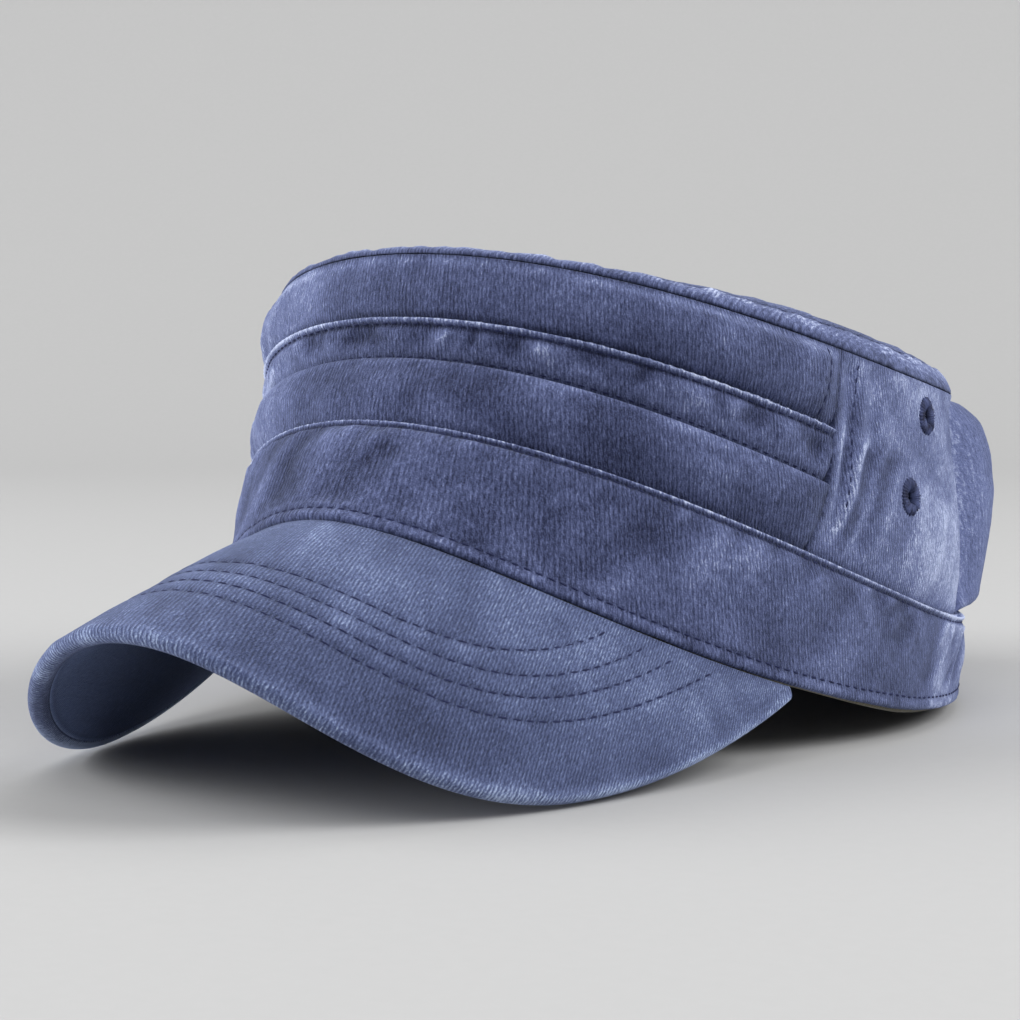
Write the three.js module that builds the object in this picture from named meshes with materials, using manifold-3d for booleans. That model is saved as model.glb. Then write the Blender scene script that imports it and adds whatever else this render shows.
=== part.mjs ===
// Kepi cap of washed cotton, lying on a table as it rests by itself.
// Lengths are millimetres and angles are degrees. +Z is up, the brim points
// to -Y and the wearer's left side is +X. Angles run round the crown from the
// middle of the front (0) over the left side (90) to the middle of the back.

import * as THREE from 'three';
import { mergeVertices } from 'three/addons/utils/BufferGeometryUtils.js';
import Module from 'manifold-3d';

const wasm = await Module();
wasm.setup();

// Space kept between two pieces that are sewn to each other.
const GAP = 0.3;

// Thickness of each cloth, with its folded seam allowance.
const CROWN_CLOTH = 1.6;
const BAND_CLOTH = 2.0;
const TOP_CLOTH = 1.6;
const SWEATBAND_CLOTH = 1.2;
const BRIM_COVER_CLOTH = 2.0;
const BRIM_UNDER_CLOTH = 1.5;

// Seam lines round the crown, from the hem up to the top edge. Seen from above
// each is a squared oval: where its centre lies, its half length and width, how
// square it is (2 is an ellipse) and how much the front is narrower than the
// back. The last four columns are its height above the table at the front, 60
// degrees round, at the side and at the back; what would be below the table
// lies flat on it.
const SEAMS = {
  hem: {
    centre: -9.7, halfLength: 105.7, halfWidth: 82.2, squareness: 1.86, taper: 0.119,
    front: 53.0, corner: 20.9, side: 6.6, back: -0.5,
  },
  bandTop: {
    centre: -1.4, halfLength: 96.2, halfWidth: 81.2, squareness: 1.97, taper: 0.078,
    front: 72.3, corner: 48.4, side: 30.3, back: 25.5,
  },
  tuck: {
    centre: 2.0, halfLength: 90.4, halfWidth: 80.9, squareness: 2.06, taper: 0.045,
    front: 85.3, corner: 63.3, side: 47.0, back: 42.0,
  },
  strip: {
    centre: 2.5, halfLength: 89.0, halfWidth: 79.5, squareness: 2.07, taper: 0.031,
    front: 93.9, corner: 75.1, side: 60.4, back: 55.0,
  },
  topEdge: {
    centre: 4.1, halfLength: 86.4, halfWidth: 77.6, squareness: 2.03, taper: 0.026,
    front: 108.0, corner: 92.6, side: 81.2, back: 79.0,
  },
};
const SEAM_ORDER = ['hem', 'bandTop', 'tuck', 'strip', 'topEdge'];

// Levels on the wall: whole numbers are the seam lines above, in order.
const HEM = 0;
const BAND_TOP = 1;
const TUCK = 2;
const STRIP_TOP = 3;
const TOP_EDGE = 4;

// The cloth walls stop this much short of the top seam line.
const WALL_TOP = TOP_EDGE - 0.06;

// The upright seam between the front and the side panel leans a little back.
const SIDE_SEAM_FOOT = 66.4;
const SIDE_SEAM_HEAD = 71.6;
const REAR_SEAM = 123;
const SEAM_SPACE = 0.12;

// How far a panel's raw edge runs on behind the piece sewn over it, in levels.
const LAP_BEHIND_BAND = 0.2;
const LAP_BEHIND_FRONT = 0.25;
const LAP_BEHIND_STRIP = 0.35;

// Soft forms: how far each cloth stands out from its flat seam line.
const HEM_ROLL = 0.5;
const BAND_PUFF = 1.4;
const LOWER_PUFF = 1.3;
const STRIP_GATHER = 0.3;
const STRIP_GATHERS_PER_TURN = 30;
const UPPER_PUFF = 2.8;
const SIDE_FOLD = 0.7;
const SIDE_FOLD_SPACING = 5.5;
const SIDE_FOLD_REACH = 16;
const REAR_DENT = 2.6;
const REAR_DENT_REACH = 16;

// The top panel is a low dome that puffs up behind its seam, more at the sides
// and the back than at the front.
const TOP_DOME = 3.5;
const TOP_SHOULDER = 4.8;
const TOP_SHOULDER_MEAN = 0.6;
const TOP_SHARES = [0.0, 0.4, 0.75, 0.92, 0.97, 1.0];

// The back panel is a full pillow that stands out past the side panels. Rows
// go down from the top edge: share of its height, share of its fullest stand.
const BACK_FULLNESS = 12.5;
const BACK_CENTRE_SHARE = 0.55;
const BACK_RISE = 9;
const BACK_RIPPLE = 0.6;
const BACK_RIPPLES_PER_TURN = 15;
const BACK_PROFILE = [
  { down: 0.0, stand: 0.0 },
  { down: 0.04, stand: 0.42 },
  { down: 0.1, stand: 0.86 },
  { down: 0.22, stand: 1.03 },
  { down: 0.4, stand: 1.0 },
  { down: 0.58, stand: 0.9 },
  { down: 0.76, stand: 0.76 },
  { down: 0.89, stand: 0.66 },
  { down: 0.96, stand: 0.54 },
  { down: 0.98, stand: 0.3 },
];

// The brim's outer edge, from the middle (0) to a corner (1). Half width and
// reach are short rows in odd and even powers of the share along the edge.
const BRIM_HALF_WIDTH = { straight: 94.3, cubic: -31.8, fifth: 12.2 };
const BRIM_TIP = -175.8;
const BRIM_SWEEP = { square: 92.0, fourth: 38.5 };
const BRIM_TIP_HEIGHT = 33.4;
const BRIM_LOW_POINT = 0.745;
const BRIM_CORNER_HEIGHT = 14.6;
const BRIM_CORNER = 68.9;
const BRIM_ARCH = 0.8;
const BRIM_END = 0.985;

// The brim's cloths are pressed thinner where its corners are sewn in.
const BRIM_CORNER_THIN = 0.55;
const BRIM_THIN_FROM = 0.82;
const BRIM_MARGIN = 2.2;
const BRIM_LIP = 2.2;
const BRIM_ROLL = 0.4;

// Stitched eyelets on each side panel.
const EYELET_RADIUS = 4.2;
const EYELET_HOLE_RADIUS = 1.4;
const EYELET_BARREL_RADIUS = 2.2;
const EYELET_RAISE = 0.7;
const EYELETS = [
  { name: 'upper', angle: 94.1, level: 3.59 },
  { name: 'lower', angle: 87.6, level: 2.41 },
];

// The sweatband drops just below the hem between the brim and the back.
const SWEATBAND_DROP = 0.7;
const SWEATBAND_TOP = 1.25;
const SWEATBAND_SLACK = 0.5;

// How finely each piece is divided.
const ROUND_STEPS = 60;
const FRONT_STEPS = 28;
const STRIP_STEPS = 40;
const SIDE_STEPS = 18;
const BACK_STEPS = 28;
const BRIM_STEPS = 30;
const EYELET_STEPS = 12;

// Washed cotton in faded blue, and the other cloths that show.
const CLOTH_BLUE = { color: 0x4a5578, roughness: 0.92, metalness: 0.0 };
const FADED_BLUE = { color: 0x6c7aa2, roughness: 0.92, metalness: 0.0 };
const BRIM_BLUE = { color: 0x5c668e, roughness: 0.9, metalness: 0.0 };
const UNDER_NAVY = { color: 0x232b3f, roughness: 0.93, metalness: 0.0 };
const TAPE_OLIVE = { color: 0x77735f, roughness: 0.9, metalness: 0.0 };
const THREAD_NAVY = { color: 0x2b3556, roughness: 0.85, metalness: 0.0 };

const radians = THREE.MathUtils.degToRad;

function clamp(value, low, high) {
  return Math.min(high, Math.max(low, value));
}

// Rises smoothly from 0 at `from` to 1 at `to`.
function ease(value, from, to) {
  const share = clamp((value - from) / (to - from), 0, 1);
  return share * share * (3 - 2 * share);
}

// Height of a seam line, from its four heights as a short cosine row.
function seamHeight(seam, angle) {
  const frontBack = (seam.front + seam.back) / 2;
  const lift = (seam.front - seam.back) / 2;
  const mean = (frontBack + seam.side) / 2;
  const saddle = (frontBack - seam.side) / 2;
  const third = (lift / 2 - (seam.corner - mean + saddle / 2)) / 1.5;
  return mean + (lift - third) * Math.cos(angle)
    + saddle * Math.cos(2 * angle) + third * Math.cos(3 * angle);
}

function seamPoint(seam, degrees) {
  const angle = radians(degrees);
  const power = 2 / seam.squareness;
  const across = Math.sign(Math.sin(angle)) * Math.abs(Math.sin(angle)) ** power;
  const along = Math.sign(Math.cos(angle)) * Math.abs(Math.cos(angle)) ** power;
  return new THREE.Vector3(
    seam.halfWidth * across * (1 - seam.taper * along),
    seam.centre - seam.halfLength * along,
    Math.max(0, seamHeight(seam, angle)),
  );
}

// A point of the crown's wall, on a smooth curve through the seam lines.
function wallPoint(degrees, level) {
  const last = SEAM_ORDER.length - 1;
  const lower = clamp(Math.floor(level), 0, last - 1);
  const share = level - lower;
  const at = (index) => seamPoint(SEAMS[SEAM_ORDER[index]], degrees);
  const start = at(lower);
  const end = at(lower + 1);
  const before = lower > 0 ? at(lower - 1) : start.clone().multiplyScalar(2).sub(end);
  const after = lower + 2 <= last ? at(lower + 2) : end.clone().multiplyScalar(2).sub(start);
  const blend = (axis) => 0.5 * (2 * start[axis]
    + (end[axis] - before[axis]) * share
    + (2 * before[axis] - 5 * start[axis] + 4 * end[axis] - after[axis]) * share ** 2
    + (3 * start[axis] - before[axis] - 3 * end[axis] + after[axis]) * share ** 3);
  return new THREE.Vector3(blend('x'), blend('y'), blend('z'));
}

function wallNormal(degrees, level) {
  const around = wallPoint(degrees + 0.5, level).sub(wallPoint(degrees - 0.5, level));
  const up = wallPoint(degrees, level + 0.05).sub(wallPoint(degrees, level - 0.05));
  return around.cross(up).normalize();
}

// A point that stands `out` in front of the wall, square to it.
function offWall(degrees, level, out) {
  return wallPoint(degrees, level).addScaledVector(wallNormal(degrees, level), out);
}

// The same, but straight sideways, for an edge that is cut level.
function offWallLevel(degrees, level, out) {
  const normal = wallNormal(degrees, level);
  const flat = new THREE.Vector3(normal.x, normal.y, 0);
  const lean = flat.length();
  return wallPoint(degrees, level).addScaledVector(flat.normalize(), out / lean);
}

// Joins sections into one closed body. A section has the same number of points
// on its outer and inner side, both in order from the lower or inner edge.
function shellGeometry(sections, closed) {
  const points = [];
  const triangles = [];
  const rows = sections[0].outer.length;
  const size = 2 * rows;
  for (const section of sections) {
    for (const point of [...section.outer, ...section.inner]) {
      points.push(point.x, point.y, point.z);
    }
  }
  const quad = (a, b, c, d) => triangles.push(a, b, c, a, c, d);
  const count = closed ? sections.length : sections.length - 1;
  for (let column = 0; column < count; column += 1) {
    const here = column * size;
    const next = ((column + 1) % sections.length) * size;
    for (let row = 0; row < rows - 1; row += 1) {
      quad(here + row, next + row, next + row + 1, here + row + 1);
      quad(here + rows + row, here + rows + row + 1, next + rows + row + 1, next + rows + row);
    }
    quad(here, here + rows, next + rows, next);
    quad(here + rows - 1, next + rows - 1, next + size - 1, here + size - 1);
  }
  if (!closed) {
    const end = (sections.length - 1) * size;
    for (let row = 0; row < rows - 1; row += 1) {
      quad(row, row + 1, rows + row + 1, rows + row);
      quad(end + row, end + rows + row, end + rows + row + 1, end + row + 1);
    }
  }
  const geometry = new THREE.BufferGeometry();
  geometry.setAttribute('position', new THREE.Float32BufferAttribute(points, 3));
  geometry.setIndex(triangles);
  geometry.computeVertexNormals();
  return geometry;
}

// Cuts one closed geometry out of another.
function cutGeometry(geometry, cutters) {
  const solid = (source) => {
    const bare = source.clone();
    bare.deleteAttribute('normal');
    bare.deleteAttribute('uv');
    const merged = mergeVertices(bare, 1e-4);
    return new wasm.Manifold(new wasm.Mesh({
      numProp: 3,
      vertProperties: new Float32Array(merged.attributes.position.array),
      triVerts: new Uint32Array(merged.index.array),
    }));
  };
  let body = solid(geometry);
  for (const cutter of cutters) {
    body = body.subtract(solid(cutter));
  }
  const mesh = body.getMesh();
  const result = new THREE.BufferGeometry();
  result.setAttribute('position', new THREE.BufferAttribute(new Float32Array(mesh.vertProperties), 3));
  result.setIndex(new THREE.BufferAttribute(new Uint32Array(mesh.triVerts), 1));
  result.computeVertexNormals();
  return result;
}

const cap = new THREE.Group();

function addPiece(name, geometry, look) {
  const mesh = new THREE.Mesh(geometry, new THREE.MeshStandardMaterial(look));
  mesh.name = name;
  cap.add(mesh);
  return mesh;
}

// A wall piece: `rows` give each row's level and how far its outer face stands
// out, and `relief` adds the soft form at an angle, level and share of height.
function wallPiece(angles, rows, cloth, relief, closed) {
  const low = rows[0].level;
  const high = rows[rows.length - 1].level;
  const sections = angles.map((angleAt) => {
    const outer = [];
    const inner = [];
    for (const row of rows) {
      const degrees = angleAt(row.level);
      const share = (row.level - low) / (high - low);
      const out = row.out + relief(degrees, row.level, share);
      const place = row.cutLevel ? offWallLevel : offWall;
      outer.push(place(degrees, row.level, out));
      inner.push(place(degrees, row.level, out - cloth));
    }
    return { outer, inner };
  });
  return shellGeometry(sections, closed);
}

function sideSeam(level) {
  return SIDE_SEAM_FOOT + (SIDE_SEAM_HEAD - SIDE_SEAM_FOOT) * (level / TOP_EDGE);
}

function evenAngles(count, from, to, closed) {
  const steps = closed ? count : count + 1;
  return Array.from({ length: steps }, (_, index) => (level) => {
    const start = from(level);
    return start + (to(level) - start) * (index / count);
  });
}

const roundAngles = evenAngles(ROUND_STEPS, () => 0, () => 360, true);
const frontEnd = (level) => sideSeam(level) - SEAM_SPACE;
const frontAngles = (count) => evenAngles(count, (level) => -frontEnd(level), frontEnd, false);

// Depth at which the cloth behind a folded edge runs.
const behindBand = -(BAND_CLOTH + GAP);
const behindCrown = -(CROWN_CLOTH + GAP);

// Band: a straight strip round the head, folded at its top, cut level below.
const bandRows = [
  { level: HEM, out: 0, cutLevel: true },
  { level: 0.12, out: HEM_ROLL },
  { level: 0.22, out: 0 },
  { level: 0.55, out: 0 },
  { level: 0.85, out: 0 },
  { level: BAND_TOP, out: 0 },
];
function bandRelief(degrees, level, share) {
  const swell = share > 0.2 ? Math.sin(Math.PI * share ** 2.2) : 0;
  return BAND_PUFF * swell * (0.5 + 0.5 * Math.cos(radians(degrees)));
}
addPiece('band', wallPiece(roundAngles, bandRows, BAND_CLOTH, bandRelief, true), CLOTH_BLUE);

// Sweatband inside the band and the foot of the crown.
const sweatbandOut = behindBand - SWEATBAND_SLACK;
const sweatbandRows = [
  { level: HEM, out: sweatbandOut, cutLevel: true },
  { level: 0.55, out: sweatbandOut },
  { level: 0.78, out: behindBand + behindCrown - GAP },
  { level: SWEATBAND_TOP, out: behindBand + behindCrown - GAP },
];
const sweatband = wallPiece(roundAngles, sweatbandRows, SWEATBAND_CLOTH, () => 0, true);
const hemHeights = sweatband.attributes.position;
for (let column = 0; column < ROUND_STEPS; column += 1) {
  const side = Math.abs(((column * 360) / ROUND_STEPS + 180) % 360 - 180);
  const drop = SWEATBAND_DROP * ease(side, BRIM_CORNER + 4, 90) * (1 - ease(side, 100, 125));
  const lift = GAP * ease(side, 105, 130);
  for (const index of [0, sweatbandRows.length]) {
    const vertex = column * 2 * sweatbandRows.length + index;
    hemHeights.setZ(vertex, hemHeights.getZ(vertex) - drop + lift);
  }
}
addPiece('sweatband', sweatband, TAPE_OLIVE);

// Lower front: it steps out over the strip's stitched foot.
const lowerRows = [
  { level: BAND_TOP - LAP_BEHIND_BAND, out: behindBand },
  { level: BAND_TOP, out: behindBand },
  { level: 1.12, out: -1.1 },
  { level: 1.4, out: 0 },
  { level: 1.7, out: 0.2 },
  { level: 1.93, out: 0.6 },
  { level: TUCK, out: 0.1 },
];
function lowerRelief(degrees, level) {
  return LOWER_PUFF * Math.sin(Math.PI * clamp((level - 1.1) / 0.9, 0, 1));
}
const lowerFront = wallPiece(frontAngles(FRONT_STEPS), lowerRows, CROWN_CLOTH, lowerRelief, false);
addPiece('front_lower', lowerFront, CLOTH_BLUE);

// Gathered strip with a folded top edge.
const stripRows = [
  { level: TUCK - LAP_BEHIND_FRONT, out: behindCrown - 0.2 },
  { level: TUCK, out: behindCrown },
  { level: 2.2, out: -0.7 },
  { level: 2.6, out: -0.2 },
  { level: STRIP_TOP, out: 0 },
];
function stripRelief(degrees, level) {
  const middle = Math.sin(Math.PI * ease(level, 2.02, 2.98));
  return STRIP_GATHER * middle * Math.cos(radians(degrees * STRIP_GATHERS_PER_TURN));
}
const stripFront = wallPiece(frontAngles(STRIP_STEPS), stripRows, CROWN_CLOTH, stripRelief, false);
addPiece('front_strip', stripFront, CLOTH_BLUE);

// Upper front: rises from behind the strip and rolls over at the top edge.
const upperRows = [
  { level: STRIP_TOP - LAP_BEHIND_STRIP, out: behindCrown - 0.5 },
  { level: STRIP_TOP, out: behindCrown },
  { level: 3.1, out: -1.0 },
  { level: 3.35, out: -0.1 },
  { level: 3.65, out: 0 },
  { level: 3.86, out: 0 },
  { level: WALL_TOP, out: 0 },
];
function upperRelief(degrees, level) {
  const corner = ease(Math.abs(degrees), 20, 55);
  return UPPER_PUFF * corner * Math.sin(Math.PI * clamp((level - 3.05) / 0.95, 0, 1) ** 1.2) ** 0.7;
}
const upperFront = wallPiece(frontAngles(FRONT_STEPS), upperRows, CROWN_CLOTH, upperRelief, false);
addPiece('front_upper', upperFront, FADED_BLUE);

// Side panels: upright folds run along the side seam, and the cloth dips in
// towards the rear seam.
const sideRows = [
  { level: BAND_TOP - LAP_BEHIND_BAND, out: behindBand },
  { level: BAND_TOP, out: behindBand },
  { level: 1.14, out: -1.2 },
  { level: 1.5, out: -0.3 },
  { level: 2.0, out: 0 },
  { level: 2.5, out: 0 },
  { level: 3.0, out: 0 },
  { level: 3.5, out: 0 },
  { level: 3.8, out: 0 },
  { level: WALL_TOP, out: 0 },
];
function sideRelief(degrees, level) {
  const past = degrees - sideSeam(level);
  const free = ease(level, 1, 1.4) * (1 - ease(level, 3.7, 3.95));
  const fold = Math.cos((2 * Math.PI * past) / SIDE_FOLD_SPACING) - 1;
  const folds = SIDE_FOLD * fold * (1 - ease(past, 2, SIDE_FOLD_REACH));
  const dent = -REAR_DENT * ease(degrees, REAR_SEAM - REAR_DENT_REACH, REAR_SEAM);
  return (folds + dent) * free;
}
const sideAngles = Array.from({ length: SIDE_STEPS + 1 }, (_, index) => (level) => {
  const start = sideSeam(level) + SEAM_SPACE;
  const share = (index / SIDE_STEPS) ** 1.25;
  return start + (REAR_SEAM - SEAM_SPACE - start) * share;
});
const sidePlain = wallPiece(sideAngles, sideRows, CROWN_CLOTH, sideRelief, false);

// An eyelet is a ring of thread with a short barrel through the cloth.
const eyeletProfile = [
  [EYELET_HOLE_RADIUS, -CROWN_CLOTH - GAP],
  [EYELET_BARREL_RADIUS, -CROWN_CLOTH - GAP],
  [EYELET_BARREL_RADIUS, GAP],
  [EYELET_RADIUS, GAP],
  [EYELET_RADIUS * 0.82, GAP + EYELET_RAISE],
  [EYELET_HOLE_RADIUS * 1.5, GAP + EYELET_RAISE],
  [EYELET_HOLE_RADIUS, GAP * 0.5],
  [EYELET_HOLE_RADIUS, -CROWN_CLOTH - GAP],
].map(([radius, height]) => new THREE.Vector2(radius, height));
const outwardTurn = new THREE.Quaternion();
const yAxis = new THREE.Vector3(0, 1, 0);

function eyeletPlace(eyelet) {
  const out = sideRelief(eyelet.angle, eyelet.level);
  return {
    point: offWall(eyelet.angle, eyelet.level, out),
    normal: wallNormal(eyelet.angle, eyelet.level),
  };
}

const holeCutters = EYELETS.map((eyelet) => {
  const { point, normal } = eyeletPlace(eyelet);
  const hole = new THREE.CylinderGeometry(
    EYELET_BARREL_RADIUS + GAP,
    EYELET_BARREL_RADIUS + GAP,
    6 * CROWN_CLOTH,
    EYELET_STEPS,
  );
  hole.applyQuaternion(outwardTurn.setFromUnitVectors(yAxis, normal));
  hole.translate(point.x, point.y, point.z);
  return hole;
});
const sideLeft = cutGeometry(sidePlain, holeCutters);

// Mirrors a geometry to the other side and turns its faces out again.
function mirrored(geometry) {
  const copy = geometry.clone();
  copy.scale(-1, 1, 1);
  const index = copy.index.array;
  for (let corner = 0; corner < index.length; corner += 3) {
    const kept = index[corner];
    index[corner] = index[corner + 1];
    index[corner + 1] = kept;
  }
  copy.computeVertexNormals();
  return copy;
}
addPiece('side_panel_left', sideLeft, FADED_BLUE);
addPiece('side_panel_right', mirrored(sideLeft), FADED_BLUE);

for (const eyelet of EYELETS) {
  const { point, normal } = eyeletPlace(eyelet);
  const ring = new THREE.LatheGeometry(eyeletProfile, EYELET_STEPS);
  ring.applyQuaternion(outwardTurn.setFromUnitVectors(yAxis, normal));
  ring.translate(point.x, point.y, point.z);
  ring.deleteAttribute('normal');
  ring.deleteAttribute('uv');
  const closedRing = mergeVertices(ring, 1e-4);
  closedRing.computeVertexNormals();
  addPiece(`eyelet_left_${eyelet.name}`, closedRing, THREAD_NAVY);
  addPiece(`eyelet_right_${eyelet.name}`, mirrored(closedRing), THREAD_NAVY);
}

// Back panel: its outer face is laid out first, then the cloth is given its
// thickness square to that face.
const backSpan = 2 * (180 - REAR_SEAM);
const backHeight = WALL_TOP - BAND_TOP;
function backStand(degrees) {
  const past = Math.min(degrees - REAR_SEAM, REAR_SEAM + backSpan - degrees);
  const edge = Math.sin((Math.PI / 2) * clamp(past / BACK_RISE, 0, 1)) ** 0.8;
  const middle = ease(past, BACK_RISE, backSpan / 2);
  const full = BACK_FULLNESS * (1 - (1 - BACK_CENTRE_SHARE) * middle);
  const ripple = BACK_RIPPLE * Math.cos(radians(degrees * BACK_RIPPLES_PER_TURN));
  return edge * (full + ripple * ease(past, BACK_RISE, 2 * BACK_RISE));
}
const backRows = [...BACK_PROFILE].reverse();
const backOuter = Array.from({ length: BACK_STEPS + 1 }, (_, index) => {
  const swing = (2 * index) / BACK_STEPS - 1;
  const spread = Math.sign(swing) * (1 - (1 - Math.abs(swing)) ** 1.35);
  const degrees = 180 + spread * (backSpan / 2 - SEAM_SPACE);
  const edge = clamp(Math.abs(spread), 0, 1) ** 8;
  const column = [
    offWall(degrees, BAND_TOP - LAP_BEHIND_BAND, behindBand),
    offWall(degrees, BAND_TOP + 0.02, behindBand),
  ];
  for (const row of backRows) {
    const level = WALL_TOP - row.down * backHeight;
    const dent = -REAR_DENT * edge * ease(level, 1, 1.4) * (1 - ease(level, 3.7, 3.95));
    column.push(offWall(degrees, level, dent + row.stand * backStand(degrees)));
  }
  return column;
});
function gridNormal(grid, column, row) {
  const left = grid[Math.max(0, column - 1)][row];
  const right = grid[Math.min(grid.length - 1, column + 1)][row];
  const below = grid[column][Math.max(0, row - 1)];
  const above = grid[column][Math.min(grid[column].length - 1, row + 1)];
  return right.clone().sub(left).cross(above.clone().sub(below)).normalize();
}
const backSections = backOuter.map((outer, column) => ({
  outer,
  inner: outer.map((point, row) => point.clone()
    .addScaledVector(gridNormal(backOuter, column, row), -CROWN_CLOTH)),
}));
addPiece('back_panel', shellGeometry(backSections, false), FADED_BLUE);

// Top panel: a soft dome whose rim lies on the top edge all round.
function topPoint(degrees, share, lift) {
  const seam = SEAMS.topEdge;
  const rim = wallPoint(degrees, WALL_TOP);
  const angle = radians(degrees);
  const frontBack = (seam.front + seam.back) / 2;
  const mean = (frontBack + seam.side) / 2;
  const saddle = (frontBack - seam.side) / 2;
  const slope = rim.z - mean - saddle * Math.cos(2 * angle);
  const height = mean + slope * share + saddle * Math.cos(2 * angle) * share ** 2;
  const side = ease(Math.abs(((degrees + 180) % 360) - 180), 10, 85);
  const shoulder = TOP_SHOULDER_MEAN + (side - TOP_SHOULDER_MEAN) * Math.min(1, 1.6 * share);
  const dome = TOP_DOME * (1 - share ** 2.4) + TOP_SHOULDER * shoulder * (1 - share ** 20);
  return new THREE.Vector3(
    rim.x * share,
    seam.centre + (rim.y - seam.centre) * share,
    height + dome + GAP + lift,
  );
}
function topGeometry() {
  const points = [];
  const triangles = [];
  const steps = ROUND_STEPS / 1.5;
  const rings = TOP_SHARES.slice(1);
  const push = (point) => points.push(point.x, point.y, point.z);
  push(topPoint(0, 0, TOP_CLOTH));
  push(topPoint(0, 0, 0));
  for (const lift of [TOP_CLOTH, 0]) {
    for (const share of rings) {
      for (let step = 0; step < steps; step += 1) {
        push(topPoint((step * 360) / steps, share, lift));
      }
    }
  }
  const at = (side, ring, step) => 2 + (side * rings.length + ring) * steps + (step % steps);
  for (let step = 0; step < steps; step += 1) {
    triangles.push(0, at(0, 0, step), at(0, 0, step + 1));
    triangles.push(1, at(1, 0, step + 1), at(1, 0, step));
    for (let ring = 0; ring < rings.length - 1; ring += 1) {
      const next = ring + 1;
      triangles.push(at(0, ring, step), at(0, next, step), at(0, next, step + 1));
      triangles.push(at(0, ring, step), at(0, next, step + 1), at(0, ring, step + 1));
      triangles.push(at(1, ring, step), at(1, next, step + 1), at(1, next, step));
      triangles.push(at(1, ring, step), at(1, ring, step + 1), at(1, next, step + 1));
    }
    const rim = rings.length - 1;
    triangles.push(at(0, rim, step), at(1, rim, step), at(1, rim, step + 1));
    triangles.push(at(0, rim, step), at(1, rim, step + 1), at(0, rim, step + 1));
  }
  const geometry = new THREE.BufferGeometry();
  geometry.setAttribute('position', new THREE.Float32BufferAttribute(points, 3));
  geometry.setIndex(triangles);
  geometry.computeVertexNormals();
  return geometry;
}
addPiece('top_panel', topGeometry(), FADED_BLUE);

// Brim: straight lines from the hem to the outer edge, arched a little.
function brimPress(along) {
  return 1 - BRIM_CORNER_THIN * ease(Math.abs(along), BRIM_THIN_FROM, 1);
}
function coverDepth(along) {
  return BRIM_COVER_CLOTH * brimPress(along);
}
function brimDepth(along) {
  return coverDepth(along) + GAP + BRIM_UNDER_CLOTH * brimPress(along);
}
function brimEdge(along) {
  const reach = Math.abs(along);
  const beyond = (along ** 2 - BRIM_LOW_POINT ** 2) / (1 - BRIM_LOW_POINT ** 2);
  const rise = reach < BRIM_LOW_POINT
    ? BRIM_TIP_HEIGHT * (1 - (along / BRIM_LOW_POINT) ** 2) ** 2
    : BRIM_CORNER_HEIGHT * beyond ** 2;
  return new THREE.Vector3(
    BRIM_HALF_WIDTH.straight * along + BRIM_HALF_WIDTH.cubic * along ** 3
      + BRIM_HALF_WIDTH.fifth * along ** 5,
    BRIM_TIP + BRIM_SWEEP.square * along ** 2 + BRIM_SWEEP.fourth * along ** 4,
    rise,
  );
}
function brimBase(along, share) {
  const inner = seamPoint(SEAMS.hem, along * BRIM_CORNER);
  const point = inner.clone().lerp(brimEdge(along), share);
  point.z += BRIM_ARCH * 4 * share * (1 - share);
  return point;
}
function brimNormal(along, share) {
  const held = clamp(share, 0.04, 0.96);
  const across = brimBase(along + 0.01, held).sub(brimBase(along - 0.01, held));
  const outward = brimBase(along, held + 0.02).sub(brimBase(along, held - 0.02));
  return outward.cross(across).normalize();
}
// Top face of the brim: it starts just under the hem and ends one brim
// thickness above the lower outer edge.
function brimTop(along, share) {
  const point = brimBase(along, Math.max(share, 0));
  const raise = clamp(share, 0, 1) * brimDepth(along);
  point.addScaledVector(brimNormal(along, share), raise);
  point.z -= (GAP + 0.1) * (1 - clamp(share, 0, 1));
  if (share < 0) {
    const degrees = along * BRIM_CORNER;
    const normal = wallNormal(degrees, HEM);
    const flat = new THREE.Vector3(normal.x, normal.y, 0).normalize();
    point.addScaledVector(flat, -BRIM_MARGIN);
  }
  return point;
}
function brimDeep(along, share, depth) {
  return brimTop(along, share).addScaledVector(brimNormal(along, share), -depth);
}
const BRIM_SHARES = [-1, 0, 0.18, 0.38, 0.58, 0.78, 0.92];
const brimAlong = Array.from({ length: BRIM_STEPS + 1 }, (_, index) => {
  const swing = (2 * index) / BRIM_STEPS - 1;
  return BRIM_END * swing;
});
// Share of the way at which a point lies `inset` inside the outer edge.
function brimInset(along, inset) {
  const width = brimBase(along, 1).distanceTo(brimBase(along, 0));
  return 1 - Math.min(inset, width * inset / (inset + BRIM_LIP)) / width;
}
const coverSections = brimAlong.map((along) => {
  const lipShare = brimInset(along, BRIM_LIP);
  const shares = BRIM_SHARES.map((share) => (share > 0 ? share * lipShare : share));
  const outer = shares.map((share) => brimTop(along, share));
  const inner = shares.map((share) => brimDeep(along, share, coverDepth(along)));
  const outward = brimTop(along, 1).sub(brimTop(along, 0.9)).normalize();
  outer.push(brimTop(along, lipShare));
  inner.push(brimDeep(along, lipShare, coverDepth(along)));
  outer.push(brimDeep(along, 1, 0.2 * brimDepth(along)));
  inner.push(brimDeep(along, lipShare, brimDepth(along)));
  outer.push(brimDeep(along, 1, 0.5 * brimDepth(along)).addScaledVector(outward, BRIM_ROLL));
  inner.push(brimDeep(along, 1, brimDepth(along)));
  return { outer: outer.reverse(), inner: inner.reverse() };
});
addPiece('brim_cover', shellGeometry(coverSections, false), BRIM_BLUE);

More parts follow.
